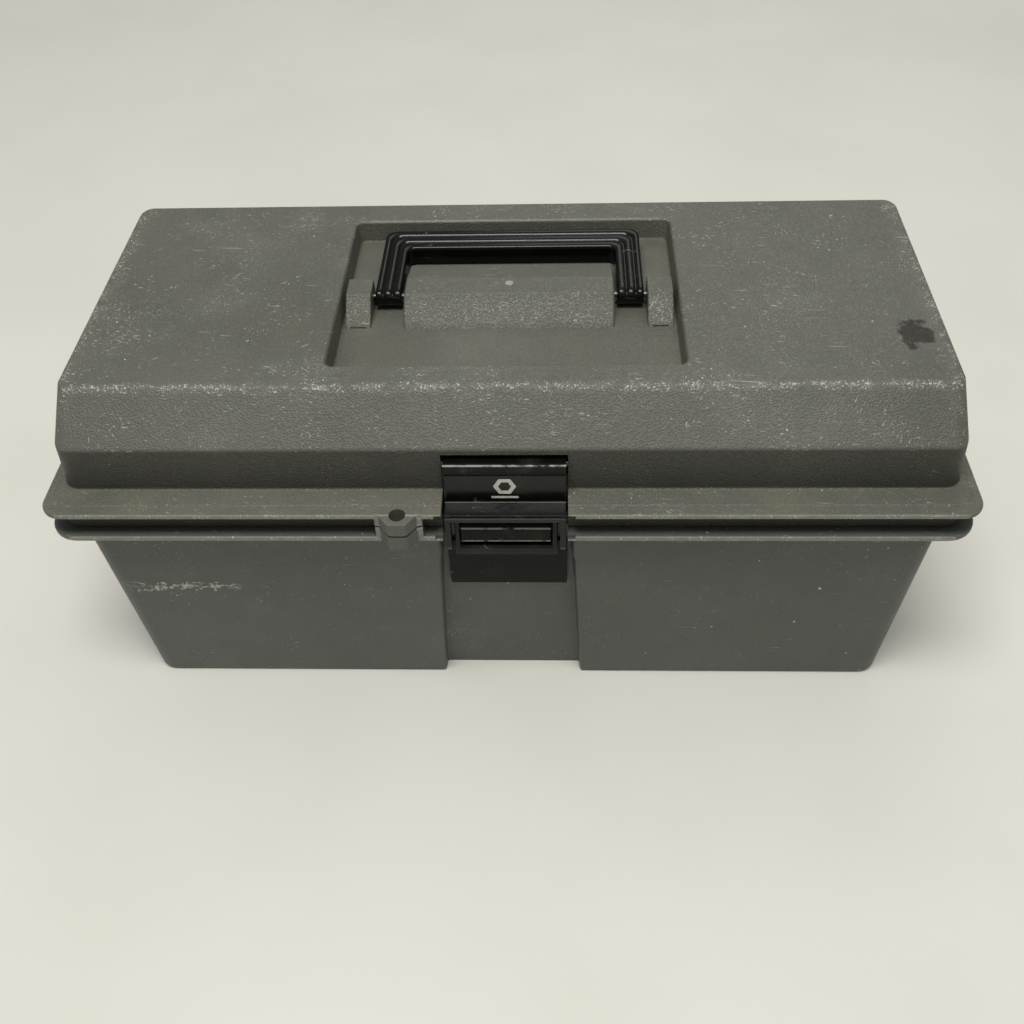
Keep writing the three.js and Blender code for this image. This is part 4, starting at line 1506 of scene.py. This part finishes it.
@dataclass
class TubShell:
    """The tub: tapered walls, flange, lip, a channel down the front and ledges for the tray."""

    # Each level's half length and half width.
    base: Point2 = (205.0, 113.5)
    top: Point2 = (214.6, 117.0)
    flange: Point2 = FLANGE_HALF
    flange_low: float = TUB_FLANGE_LOW
    flange_high: float = TUB_FLANGE_HIGH
    lip_high: float = 131.0
    inset: float = 3.5
    floor: float = 3.0
    # The channel's floor at the foot and at the flange, and its half widths going up.
    channel_floor: Point2 = (-105.8, -110.0)
    channel_half: Point3 = (37.6, 33.3, 32.5)
    shoulder: float = 98.0
    slot_half: float = 30.7

    def wall_y(self, z: float) -> float:
        """Y of the front wall's surface at a height."""
        return -(self.base[1] + (self.top[1] - self.base[1]) * z / self.flange_low)

    def floor_y(self, z: float) -> float:
        """Y of the channel's floor at a height."""
        low, high = self.channel_floor
        return low + (high - low) * z / self.flange_low

    def outside(self) -> Solid:
        """The tub's outer form as one solid, with its lip."""
        (base_x, base_y), (top_x, top_y), (flange_x, flange_y) = self.base, self.top, self.flange
        lip_x, lip_y = top_x - 1.6, top_y - 1.6
        return moulding("tub_outside", [
            Station((base_y - 24, 0), (base_x - 24, 0), 4),
            Station((base_y, 0), (base_x, 0), 10, 3.5),
            Station((top_y, self.flange_low), (top_x, self.flange_low), 10, 1.5),
            Station((flange_y, self.flange_low), (flange_x, self.flange_low), 15, 0.8),
            Station((flange_y, self.flange_high), (flange_x, self.flange_high), 15, 1.0),
            Station((lip_y, self.flange_high), (lip_x, self.flange_high), 10, 0.5),
            Station((lip_y, self.lip_high), (lip_x, self.lip_high), 10, 0.6),
            Station((lip_y - 12, self.lip_high), (lip_x - 12, self.lip_high), 6),
        ])

    def cavity(self) -> Solid:
        """The room inside the tub, less the lining behind the channel."""
        (base_x, base_y), (top_x, top_y) = self.base, self.top
        side_low, end_low = base_y - self.inset, base_x - self.inset
        side_high, end_high = top_y - self.inset, top_x - self.inset
        cavity = moulding("tub_cavity", [
            Station((side_low - 20, self.floor), (end_low - 20, self.floor), 4),
            Station((side_low, self.floor), (end_low, self.floor), 8, 4),
            Station((side_high, self.flange_low), (end_high, self.flange_low), 8),
            Station((side_high, self.lip_high + 9), (end_high, self.lip_high + 9), 8),
            Station((side_high - 20, self.lip_high + 9), (end_high - 20, self.lip_high + 9), 4),
        ])
        return combine(cavity, self.channel(3.0, self.inset, self.flange_high), Cut.REMOVE)

    def channel(self, grow: float, back: float, top: float) -> Solid:
        """The channel as a tool, or its lining when grown.

        Args:
            grow: How much wider it is on each side.
            back: How much deeper it is.
            top: Where it ends.

        Returns:
            The tool, with edges that flare out where it meets the wall.
        """
        base, middle, high = self.channel_half
        rings = []
        for z, half in ((-20, base + 0.9), (self.shoulder, middle), (self.shoulder + 2, high), (top, high)):
            wall, floor, half = self.wall_y(z), self.floor_y(z) + back, half + grow
            side = [(0, floor), (half, floor), (half + 0.9, wall - 0.1), (half + 7, wall - 0.3),
                    (half + 7, -200)]
            side = rounded(side, [0, 1.2, 3.0, 0, 0], 5)
            mirrored = [(-x, y) for x, y in reversed(side[1:])]
            rings.append([Vector((x, y, z)) for x, y in side + mirrored])
        return loft("channel", rings)

    def ledge(self, side: int) -> Solid:
        """A ledge inside one end that carries the tray."""
        points = []
        for y in (-42, 42):
            points += [(side * 196, y, 79.6), (side * 209.5, y, 79.6), (side * 196, y, 77.1),
                       (side * 208.5, y, 72.6)]
        return soften(wrap("ledge", points), 0.4, 40, 2)

    def build(self, finishes: Finishes) -> None:
        """Makes the tub.

        Args:
            finishes: The box's finishes.
        """
        tub = self.outside()
        lip_low = self.flange_high + 0.02
        combine(tub, brick("lip_back", (-400, 96, lip_low), (400, 200, 140)), Cut.REMOVE)
        combine(tub, brick("lip_front", (-37, -200, lip_low), (37, 0, 140)), Cut.REMOVE)
        combine(tub, self.cavity(), Cut.REMOVE)
        half = HINGES.tub_half
        web = (121, 125.5, self.flange_low, self.flange_high)
        for part in [self.ledge(-1), self.ledge(1), EYE.ear(121.5, 130.2)]:
            combine(tub, part, Cut.JOIN)
        for x in HINGES.stations:
            combine(tub, HINGES.knuckle(x - half, x + half, web), Cut.JOIN)
        screws = [
            rod("screw_hole", Vector((x, -113, SCREW_Z)), ALONG_Y, 18, SCREW_HOLE)
            for x in (-SCREW_X, SCREW_X)
        ]
        slot = self.slot_half
        tools = [
            self.channel(0, 0, self.flange_low - 2),
            brick("flange_slot", (-slot, -200, 118), (slot, -109, 200)),
            brick("flange_step", (-slot - 3.6, -200, 121.2), (slot + 3.6, -122.6, 200)),
            gather("screw_holes", screws), EYE.hole(), HINGES.holes(),
        ]
        for tool in tools:
            combine(tub, tool, Cut.REMOVE)
        finish_piece(tub, "tub_moulding", Body.TUB, finishes.tub, ["body_tub"])


# ---- Handle ---------------------------------------------------------------------------------


@dataclass
class SwingHandle:
    """The carrying handle: a U with three rounded ribs on top and a hollow underside."""

    inner: float = 57.0
    outer: float = 71.0
    grip_front: float = 39.5
    grip_back: float = 58.0
    inner_corner: float = 4.0
    outer_corner: float = 6.0
    half_height: float = 5.25
    ribs: tuple[float, ...] = (0.17, 0.53, 0.87)
    groove: float = 1.25
    hollow: float = 6.0
    hollow_front: float = 8.2

    def crown(self) -> list[Point2]:
        """The top of the section: (place across from 0 to 1, drop below the highest point)."""
        points = [(0.0, 2.0), (0.015, 1.1), (0.05, 0.4), (0.1, 0.05)]
        for left, right in zip(self.ribs, self.ribs[1:]):
            middle = (left + right) / 2
            points += [(left, 0.0), (middle - 0.1, 0.12), (middle - 0.05, 0.55),
                       (middle - 0.015, self.groove), (middle + 0.015, self.groove),
                       (middle + 0.05, 0.55), (middle + 0.1, 0.12)]
        return points + [(self.ribs[-1], 0.0), (0.93, 0.15), (0.97, 0.6), (0.99, 1.2), (1.0, 2.0)]

    def path(self) -> list[tuple[Point2, Point2]]:
        """Matching (x, y) places on the inner and outer edge, from the left arm's end to the right's."""
        # The arm's rounded end, then the step at which the hollow underside starts.
        turned = (k / 8 * math.pi / 2 for k in range(9))
        places = [HANDLE_PIVOT[0] - self.half_height * math.cos(angle) * 0.995 for angle in turned]
        places += [5.0, self.hollow_front - 0.2, self.hollow_front + 0.2]
        arm = [((self.inner, y), (self.outer, y)) for y in places]
        steps = 10
        corner = []
        for k in range(steps + 1):
            angle = k / steps * math.pi / 2
            across, along = math.cos(angle), math.sin(angle)
            corner.append((
                (self.inner - self.inner_corner * (1 - across),
                 self.grip_front - self.inner_corner * (1 - along)),
                (self.outer - self.outer_corner * (1 - across),
                 self.grip_back - self.outer_corner * (1 - along)),
            ))
        right = arm + corner
        left = [((-a[0], a[1]), (-b[0], b[1])) for a, b in right]
        return left + right[::-1]

    def ring(self, inner: Point2, outer: Point2) -> list[Vector]:
        """One section between two matching places.

        Args:
            inner: The place on the inner edge.
            outer: The place on the outer edge.

        Returns:
            The section's points.
        """
        y = (inner[1] + outer[1]) / 2
        back = min(0.0, y - HANDLE_PIVOT[0])
        scale = math.sqrt(max(self.half_height ** 2 - back ** 2, 0.2)) / self.half_height
        depth = self.hollow if y > self.hollow_front else 0.05
        low = -self.half_height
        section = [(across, self.half_height - drop) for across, drop in self.crown()]
        section += [(1.0, low + 0.8), (0.985, low + 0.15), (0.96, low), (0.83, low), (0.815, low + depth),
                    (0.185, low + depth), (0.17, low), (0.04, low), (0.015, low + 0.15), (0.0, low + 0.8)]
        points = []
        for across, rise in section:
            x = inner[0] + (outer[0] - inner[0]) * across
            y = inner[1] + (outer[1] - inner[1]) * across
            points.append(Vector((x, y, HANDLE_PIVOT[1] + rise * scale)))
        return points

    def build(self, finishes: Finishes) -> None:
        """Makes the handle.

        Args:
            finishes: The box's finishes.
        """
        handle = loft("handle", [self.ring(*places) for places in self.path()])
        combine(handle, gather("handle_holes", handle_pin_holes()), Cut.REMOVE)
        finish_piece(handle, "swing_handle", Body.HANDLE, finishes.handle,
                     ["carry_handle"], smooth_angle=42)


# ---- Latch ----------------------------------------------------------------------------------


@dataclass
class DrawLatch:
    """The draw latch: a lever with a printed mark, the bail that it pulls and the keeper's nose."""

    half: float = 29.7
    arm_inner: float = 26.8
    barrel: float = 5.0
    face_y: float = -111.4
    # (y, z) of the bail's turning axis, then its eyes, stubs and side bars.
    pivot: Point2 = (-110.8, 130.5)
    eye: float = 2.9
    stub: float = 1.6
    stub_inner: float = 25.0
    stub_outer: float = 28.6
    play: float = 0.35
    bail_outer: float = 25.6
    bail_inner: float = 22.8
    room_inner: float = 21.5
    # Y of the bar that hooks under the nose, its lower and its upper edge.
    bar: Point3 = (-116.6, 104.4, 111.2)
    bar_half: float = 2.8
    neck_half: float = 22.2
    plate_half: float = 30.5
    # Y of the keeper's back at the tub's foot and at its flange.
    keeper_back: Point2 = (-106.15, -110.35)
    keeper_thick: float = 2.2

    def lever(self) -> Solid:
        """The lever: barrel, ridge, groove, flat face, ledge and two side arms."""
        pin_y, pin_z = LEVER_PIVOT
        face = self.face_y
        # The barrel's back, from just past its top down to its underside, in radians.
        back = [2.0 - k / 14 * 2.9 for k in range(15)]
        barrel = [(pin_y + self.barrel * math.cos(a), pin_z + self.barrel * math.sin(a)) for a in back]
        outline = [(-108.8, 156.6), *barrel, (-104.2, 146.1), (-107.6, 143.6), (-107.6, 135), (-109, 134),
                   (-117.4, 131.5), (-117.4, 129.9), (-121.2, 129.9), (-121.4, 132.2), (-120.6, 132.5),
                   (-120.5, 131.9), (-119.8, 132.0), (-119.7, 133.2), (face, 134.9), (face, 152.1),
                   (face + 0.9, 152.5), (face + 0.8, 153.0), (face - 0.3, 153.3), (face, 154.2)]
        radii = [0.35, *[0] * len(barrel), 0.5, 0.5, 0.4, 0.8, 0.3, 0.3, 0.4, 0.25, 0.15, 0, 0, 0.3, 0.8,
                 0.25, 0, 0, 0.2, 0.5]
        lever = soften(prism_x("lever", rounded_loop(outline, radii, 3), -self.half, self.half), 0.45, 50, 3)
        arm = [(-107.6, 136), (-107.6, 128.6), (-110.4, 126.9), (-115.6, 125.6), (-116.1, 112.4),
               (-117.1, 109.9), (-120.4, 109.9), (-121.3, 112.4), (-121.4, 132.2), (-112, 134.5)]
        arm = rounded_loop(arm, [0, 1, 1, 1, 1, 1.2, 1.2, 1, 0.6, 0], 4)
        for x0, x1 in ((self.arm_inner, self.half), (-self.half, -self.arm_inner)):
            combine(lever, soften(prism_x("arm", arm, x0, x1), 0.5, 50, 3), Cut.JOIN)
        combine(lever, rod("hole", Vector((-40, pin_y, pin_z)), ALONG_X, 80, PIN_HOLE), Cut.REMOVE)
        # Blind holes for the bail's stubs, then room for its eyes beside the arms.
        for near, far, radius in (
            (self.stub_inner, self.stub_outer + self.play, self.stub + self.play),
            (self.room_inner, self.bail_outer + 0.9, self.eye + 0.6),
        ):
            for start in (near, -far):
                hole = rod("hole", Vector((start, *self.pivot)), ALONG_X, far - near, radius)
                combine(lever, hole, Cut.REMOVE)
        return lever

    def bail(self) -> Solid:
        """The bail: two side bars from its stubs to the bar that hooks under the nose."""
        bar_y, low, high = self.bar
        pivot_y, pivot_z = self.pivot
        edge = 1.1
        front, back = bar_y - self.bar_half, bar_y + self.bar_half
        corners = [(front, low + edge), (front, high - edge), (front + edge, low), (front + edge, high),
                   (back, low), (back, high)]

        def side(x0: float, x1: float) -> Solid:
            """One side bar between two places."""
            points = [tuple(p) for x in (x0, x1) for p in circle_x(x, pivot_y, pivot_z, self.eye)]
            points += [(x, y, z) for x in (x0, x1) for y, z in corners]
            return soften(wrap("side", points), 0.5, 50, 3)

        bail = side(self.bail_inner, self.bail_outer)
        combine(bail, side(-self.bail_outer, -self.bail_inner), Cut.JOIN)
        bar = wrap("bar", [(x, y, z) for x in (-self.bail_outer, self.bail_outer) for y, z in corners])
        combine(bail, soften(bar, 0.5, 50, 3), Cut.JOIN)
        for start in (self.bail_inner + 0.5, -self.stub_outer):
            length = self.stub_outer - self.bail_inner - 0.5
            stub = rod("stub", Vector((start, pivot_y, pivot_z)), ALONG_X, length, self.stub, 0.3)
            combine(bail, stub, Cut.JOIN)
        return bail

    def keeper(self) -> Solid:
        """The keeper: a plate on the channel's floor and the nose that stands out from it."""
        low_y, high_y = self.keeper_back

        def plate(low: float, high: float, half: float) -> Solid:
            """A plate on the channel's floor between two heights."""
            at_low, at_high = (low_y + (high_y - low_y) * z / TUB_FLANGE_LOW for z in (low, high))
            thick = self.keeper_thick
            outline = [(at_low, low), (at_high, high), (at_high - thick, high), (at_low - thick, low)]
            return soften(prism_x("plate", outline, -half, half), 0.5, 50, 2)

        keeper = plate(74, 108, self.plate_half)
        combine(keeper, plate(106, 122, self.neck_half), Cut.JOIN)
        nose = [(-110.6, 112.2), (-110.6, 127), (-111.6, 128.4), (-112.6, 128.4), (-118.9, 123.6),
                (-119.4, 114.9), (-113, 112.2)]
        nose = rounded_loop(nose, [0, 0.4, 0.6, 0.6, 0.7, 0.6, 0.3], 3)
        combine(keeper, soften(prism_x("nose", nose, -self.neck_half, self.neck_half), 0.5, 50, 3), Cut.JOIN)
        for x in (-SCREW_X, SCREW_X):
            hole = rod("hole", Vector((x, -110.6, SCREW_Z)), ALONG_Y, 14, SCREW_HOLE)
            combine(keeper, hole, Cut.REMOVE)
        return keeper

    def emblem(self) -> Solid:
        """A plain printed mark: a hexagon ring over a bar."""
        y, middle, ink = self.face_y + 0.02, 145.2, 0.08

        def hexagon(radius: float, thick: float) -> Solid:
            """A hexagon that stands on the face."""
            loop = [Vector((radius * math.cos(a), y, middle + radius * math.sin(a))) for a in turns(6)]
            return prism("hexagon", loop, Vector((0, -thick, 0)))

        ring = combine(hexagon(5.6, ink), hexagon(3.2, 4.0), Cut.REMOVE)
        bar = brick("bar", (-6.6, y - ink, 137.4), (6.6, y, 138.7))
        return gather("printed_mark", [ring, bar])

    def build(self, finishes: Finishes) -> None:
        """Makes the latch.

        Args:
            finishes: The box's finishes.
        """
        latch, keeper = finishes.latch, finishes.keeper
        finish_piece(self.lever(), "lever_moulding", Body.LEVER, latch, ["latch_lever"])
        finish_piece(self.emblem(), "printed_mark", Body.LEVER, finishes.print_white)
        finish_piece(self.bail(), "bail_moulding", Body.BAIL, latch, ["latch_bail"])
        finish_piece(self.keeper(), "keeper_moulding", Body.TUB, keeper, ["latch_keeper"])


# ---- Pins and screws ------------------------------------------------------------------------


@dataclass(frozen=True)
class Pin:
    """A steel pin along X.

    Attributes:
        node: Its CAD node.
        body: The body that holds it.
        x0: Its left end.
        x1: Its right end.
        place: Its (y, z).
    """

    node: str
    body: Body
    x0: float
    x1: float
    place: Point2


@dataclass
class Hardware:
    """The steel pins that everything turns on and the two screws that hold the keeper."""

    chamfer: float = 0.35
    head_radius: float = 3.4
    head_y: float = -105.16
    head_depth: float = 2.0

    def pins(self) -> list[Pin]:
        """The three hinge pins, the handle's two and the latch's.

        Returns:
            The pins, in the order in which they are made.
        """
        half = HINGES.tub_half + HINGES.gap + HINGES.lid_length
        inner, outer = HANDLE_PIN
        return [
            *(Pin(f"hinge_pin_{name}", Body.TUB, x - half, x + half, (HINGES.y, HINGES.z))
              for name, x in zip(("left", "middle", "right"), HINGES.stations)),
            Pin("handle_pin_left", Body.LID, -outer, -inner, HANDLE_PIVOT),
            Pin("handle_pin_right", Body.LID, inner, outer, HANDLE_PIVOT),
            Pin("latch_pin", Body.LID, -LATCH_PIN_HALF, LATCH_PIN_HALF, LEVER_PIVOT),
        ]

    def screw(self, x: float) -> Solid:
        """A pan-head screw with a cross recess, driven from inside the tub."""
        shank = rod("screw", Vector((x, -110.2, SCREW_Z)), ALONG_Y, 5.6, 1.6, 0.3)
        top = self.head_y + self.head_depth
        rings = []
        for radius, y in ((2.9, self.head_y), (self.head_radius, self.head_y + 0.3),
                          (self.head_radius, top - 1.1), (3.0, top - 0.45), (2.2, top - 0.1), (1.4, top)):
            rings.append([
                Vector((x + radius * math.cos(a), y, SCREW_Z + radius * math.sin(a))) for a in turns(ROUND)
            ])
        combine(shank, loft("head", rings), Cut.JOIN)
        for wide, tall in ((1.7, 0.35), (0.35, 1.7)):
            slot = brick("slot", (x - wide, top - 0.9, SCREW_Z - tall), (x + wide, top + 1, SCREW_Z + tall))
            combine(shank, slot, Cut.REMOVE)
        return shank

    def build(self, finishes: Finishes) -> None:
        """Makes the pins and screws.

        Args:
            finishes: The box's finishes.
        """
        for pin in self.pins():
            start = Vector((pin.x0, *pin.place))
            wire = rod(pin.node, start, ALONG_X, pin.x1 - pin.x0, PIN_RADIUS, self.chamfer)
            finish_piece(wire, f"{pin.node}_wire", pin.body, finishes.pin, [pin.node])
        for side, name in ((-1, "left"), (1, "right")):
            screw = self.screw(side * SCREW_X)
            finish_piece(screw, f"keeper_screw_{name}_metal", Body.TUB, finishes.screw,
                         [f"keeper_screw_{name}"])


# ---- Tray -----------------------------------------------------------------------------------


@dataclass
class ToteTray:
    """The lift-out tray: a shallow tub with a spine, a grip on two posts and four dividers."""

    low: float = 80.0
    high: float = 121.0
    low_half: Point2 = (204.0, 97.0)
    top_half: Point2 = (207.5, 100.0)
    wall: float = 2.2
    spine_half: float = 1.5
    grip_half: float = 58.0
    grip_high: float = 143.0
    grip_depth: float = 9.0
    grip_thick: float = 6.0
    post_inner: float = 44.0
    post_half: float = 3.4
    post_low: float = 103.0
    spine_high: float = 118.0
    dip_low: float = 111.0
    play: float = 0.35
    # Each divider's x, and -1 for the front half of the tray or +1 for the back.
    places: tuple[tuple[float, int], ...] = ((-88, -1), (88, -1), (-104, 1), (104, 1))
    rib_thick: float = 1.8
    divider_half: float = 1.2
    divider_low: float = 82.7
    divider_high: float = 117.5

    def inside_y(self, z: float) -> float:
        """Half the tray's inside width at a height."""
        share = (z - self.low) / (self.high - self.low)
        return self.low_half[1] + (self.top_half[1] - self.low_half[1]) * share - self.wall

    def shell(self) -> Solid:
        """The tray's shell with its spine and the guide ribs of its dividers."""
        (low_x, low_y), (top_x, top_y), wall = self.low_half, self.top_half, self.wall
        floor = self.low + wall
        tray = moulding("tray", [
            Station((low_y - 12, self.low), (low_x - 12, self.low), 5),
            Station((low_y, self.low), (low_x, self.low), 8, 1.6),
            Station((top_y, self.high), (top_x, self.high), 9, 0.7),
            Station((top_y - wall, self.high), (top_x - wall, self.high), 7, 0.7),
            Station((low_y - wall, floor), (low_x - wall, floor), 6, 1.6),
            Station((low_y - 14, floor), (low_x - 14, floor), 4),
        ])
        spine_x = low_x - wall / 2
        spine = brick("spine", (-spine_x, -self.spine_half, floor - 1),
                      (spine_x, self.spine_half, self.spine_high))
        dip = brick("dip", (-self.grip_half - 1, -20, self.dip_low), (self.grip_half + 1, 20, 140))
        combine(spine, dip, Cut.REMOVE)
        combine(tray, soften(spine, 0.4, 50, 2), Cut.JOIN)
        ribs = []
        for x, side in self.places:
            for end in (-1, 1):
                ribs.extend(self.guide_ribs(x, side, end))
        return combine(tray, gather("ribs", ribs), Cut.JOIN)

    def guide_ribs(self, x: float, side: int, end: int) -> list[Solid]:
        """The two ribs on one face of a divider, at the spine and at the wall.

        Args:
            x: Where the divider stands.
            side: The tray's half, -1 front and +1 back.
            end: The divider's face, -1 or +1.

        Returns:
            The two ribs.
        """
        near = self.divider_half + self.play
        x0, x1 = sorted((x + end * near, x + end * (near + self.rib_thick)))
        low = self.divider_low - 1.5
        wall_low, wall_high = self.inside_y(low), self.inside_y(self.divider_high)
        at_spine = (self.spine_half - 0.5, self.spine_half + 1.6)
        spans = (
            (at_spine, at_spine),
            ((wall_low - 1.6, wall_low + 0.8), (wall_high - 1.6, wall_high + 0.8)),
        )
        ribs = []
        for at_low, at_high in spans:
            points = [(xx, side * y, z) for xx in (x0, x1)
                      for z, ys in ((low, at_low), (self.divider_high, at_high)) for y in ys]
            ribs.append(soften(wrap("rib", points), 0.3, 50, 2))
        return ribs

    def grip(self) -> Solid:
        """The grip: a rounded bar on two posts that fork over the spine."""
        low, half = self.grip_high - self.grip_depth, self.grip_thick
        outline = [(-half, low), (half, low), (half, self.grip_high), (-half, self.grip_high)]
        outline = rounded_loop(outline, [3.2] * 4, 5)
        grip = soften(prism_x("grip", outline, -self.grip_half, self.grip_half), 1.2, 50, 3)
        for side in (-1, 1):
            x0, x1 = sorted((side * self.post_inner, side * self.grip_half))
            post = brick("post", (x0, -self.post_half, self.post_low), (x1, self.post_half, low + 2.5))
            combine(grip, soften(post, 0.5, 50, 2), Cut.JOIN)
        fork, reach = self.spine_half + self.play, self.grip_half + 1
        tool = brick("fork", (-reach, -fork, self.post_low - 1), (reach, fork, self.dip_low + self.play))
        return combine(grip, tool, Cut.REMOVE)

    def divider(self, x: float, side: int) -> Solid:
        """One flat divider that stands between two pairs of ribs."""
        near = self.spine_half + self.play
        points = [
            (x + dx, side * y, z) for dx in (-self.divider_half, self.divider_half)
            for z in (self.divider_low, self.divider_high) for y in (near, self.inside_y(z) - 0.75)
        ]
        return soften(wrap("divider", points), 0.35, 50, 2)

    def build(self, finishes: Finishes) -> None:
        """Makes the tray, its grip and its dividers.

        Args:
            finishes: The box's finishes.
        """
        grey = finishes.tray
        finish_piece(self.shell(), "tray_moulding", Body.TRAY, grey, ["tote_tray"])
        finish_piece(self.grip(), "tray_grip_moulding", Body.TRAY, grey, ["tray_grip"])
        for i, (x, side) in enumerate(self.places, start=1):
            finish_piece(self.divider(x, side), f"divider_{i}", Body.TRAY, grey,
                         [f"tray_divider_{i}"])


# ---- Studio ---------------------------------------------------------------------------------


@dataclass(frozen=True)
class Lamp:
    """A soft rectangular lamp.

    Attributes:
        name: Its name.
        power: Its power, in watts.
        size: Its width and height, in metres.
        place: Where it hangs, in metres.
    """

    name: str
    power: float
    size: Point2
    place: Point3


@dataclass
class Studio:
    """A pale floor, a soft light high in front, a weak one behind and a surround that brightens up.

    Attributes:
        floor_half: Half the floor's width, in metres.
        lamps: The lamps.
        lamp_colour: Their colour, slightly warm.
        aim: The point that they face, in metres.
        sky: The surround's colour.
        horizon: Its strength low down.
        zenith: Its strength overhead.
        dim_below: The height, from -1 to 1, below which it has the low strength.
        camera_place: Where the camera stands, in metres.
        camera_turns: Its turn, tilt and roll, in degrees.
        lens: Its focal length, in millimetres on a frame 36 wide.
    """

    floor_half: float = 6.0
    lamps: tuple[Lamp, ...] = (
        Lamp("key", 35.0, (1.3, 0.6), (-0.12, -0.6, 2.3)),
        Lamp("back", 4.0, (1.0, 1.0), (0.35, 1.5, 1.55)),
    )
    lamp_colour: Point3 = (1.0, 0.99, 0.96)
    aim: Point3 = (0.0, 0.0, 0.1)
    sky: tuple[float, float, float, float] = (1.0, 0.995, 0.98, 1.0)
    horizon: float = 0.15
    zenith: float = 0.5
    dim_below: float = 0.35
    camera_place: Point3 = (0.026, -0.4995, 0.5208)
    camera_turns: Point3 = (3.38, 44.68, -2.44)
    lens: float = 39.375

    def floor(self) -> None:
        """The surface that the box stands on."""
        half = self.floor_half
        corners = ((-half, -half, 0), (half, -half, 0), (half, half, 0), (-half, half, 0))
        bm = bmesh.new()
        bm.faces.new([bm.verts.new(corner) for corner in corners])
        floor = new_object("floor", bm)
        # Matt off-white paint that bounces soft light onto the front of the box.
        paint = PlainFinish("pale_painted_floor", "E8E6DD", "E4E2D8", 0.55, 160).make()
        floor.data.materials.append(paint)

    def lights(self) -> None:
        """The lamps and the surround."""
        for lamp in self.lamps:
            light = bpy.data.lights.new(lamp.name, "AREA")
            light.shape = "RECTANGLE"
            light.size, light.size_y = lamp.size
            light.energy = lamp.power
            light.color = self.lamp_colour
            holder = bpy.data.objects.new(lamp.name, light)
            holder.location = lamp.place
            toward = Vector(self.aim) - holder.location
            holder.rotation_euler = toward.to_track_quat("-Z", "Y").to_euler()
            bpy.context.scene.collection.objects.link(holder)
        world = bpy.data.worlds.new("surround")
        world.use_nodes = True
        tree = world.node_tree
        background = tree.nodes["Background"]
        background.inputs["Color"].default_value = self.sky
        direction = add_node(tree, "ShaderNodeTexCoord").outputs["Generated"]
        height = add_node(tree, "ShaderNodeSeparateXYZ", inputs={"Vector": direction}).outputs["Z"]
        ramp = {
            "Value": height, "From Min": self.dim_below, "To Min": self.horizon, "To Max": self.zenith,
        }
        strength = add_node(tree, "ShaderNodeMapRange", {"interpolation_type": "SMOOTHSTEP"}, ramp)
        tree.links.new(strength.outputs["Result"], background.inputs["Strength"])
        bpy.context.scene.world = world

    def camera(self) -> None:
        """The camera, a little above and in front of the box."""
        lens = bpy.data.cameras.new("camera")
        lens.lens = self.lens
        lens.sensor_width = 36.0
        lens.clip_start = 0.01
        camera = bpy.data.objects.new("camera", lens)
        turn, tilt, roll = (math.radians(value) for value in self.camera_turns)
        pose = Matrix.Rotation(turn, 4, "Z") @ Matrix.Rotation(tilt, 4, "X") @ Matrix.Rotation(roll, 4, "Z")
        camera.matrix_world = Matrix.Translation(self.camera_place) @ pose
        bpy.context.scene.collection.objects.link(camera)
        bpy.context.scene.camera = camera

    def build(self) -> None:
        """Makes the studio."""
        self.floor()
        self.lights()
        self.camera()
        bpy.context.scene.view_settings.view_transform = "Standard"


def main() -> None:
    """Makes the whole scene."""
    logging.basicConfig(level=logging.INFO, format="%(name)s: %(message)s")
    finishes = make_finishes()
    for assembly in (TubShell(), LidShell(), SwingHandle(), DrawLatch(), Hardware(), ToteTray()):
        assembly.build(finishes)
    Studio().build()


if __name__ == "__main__":
    main()
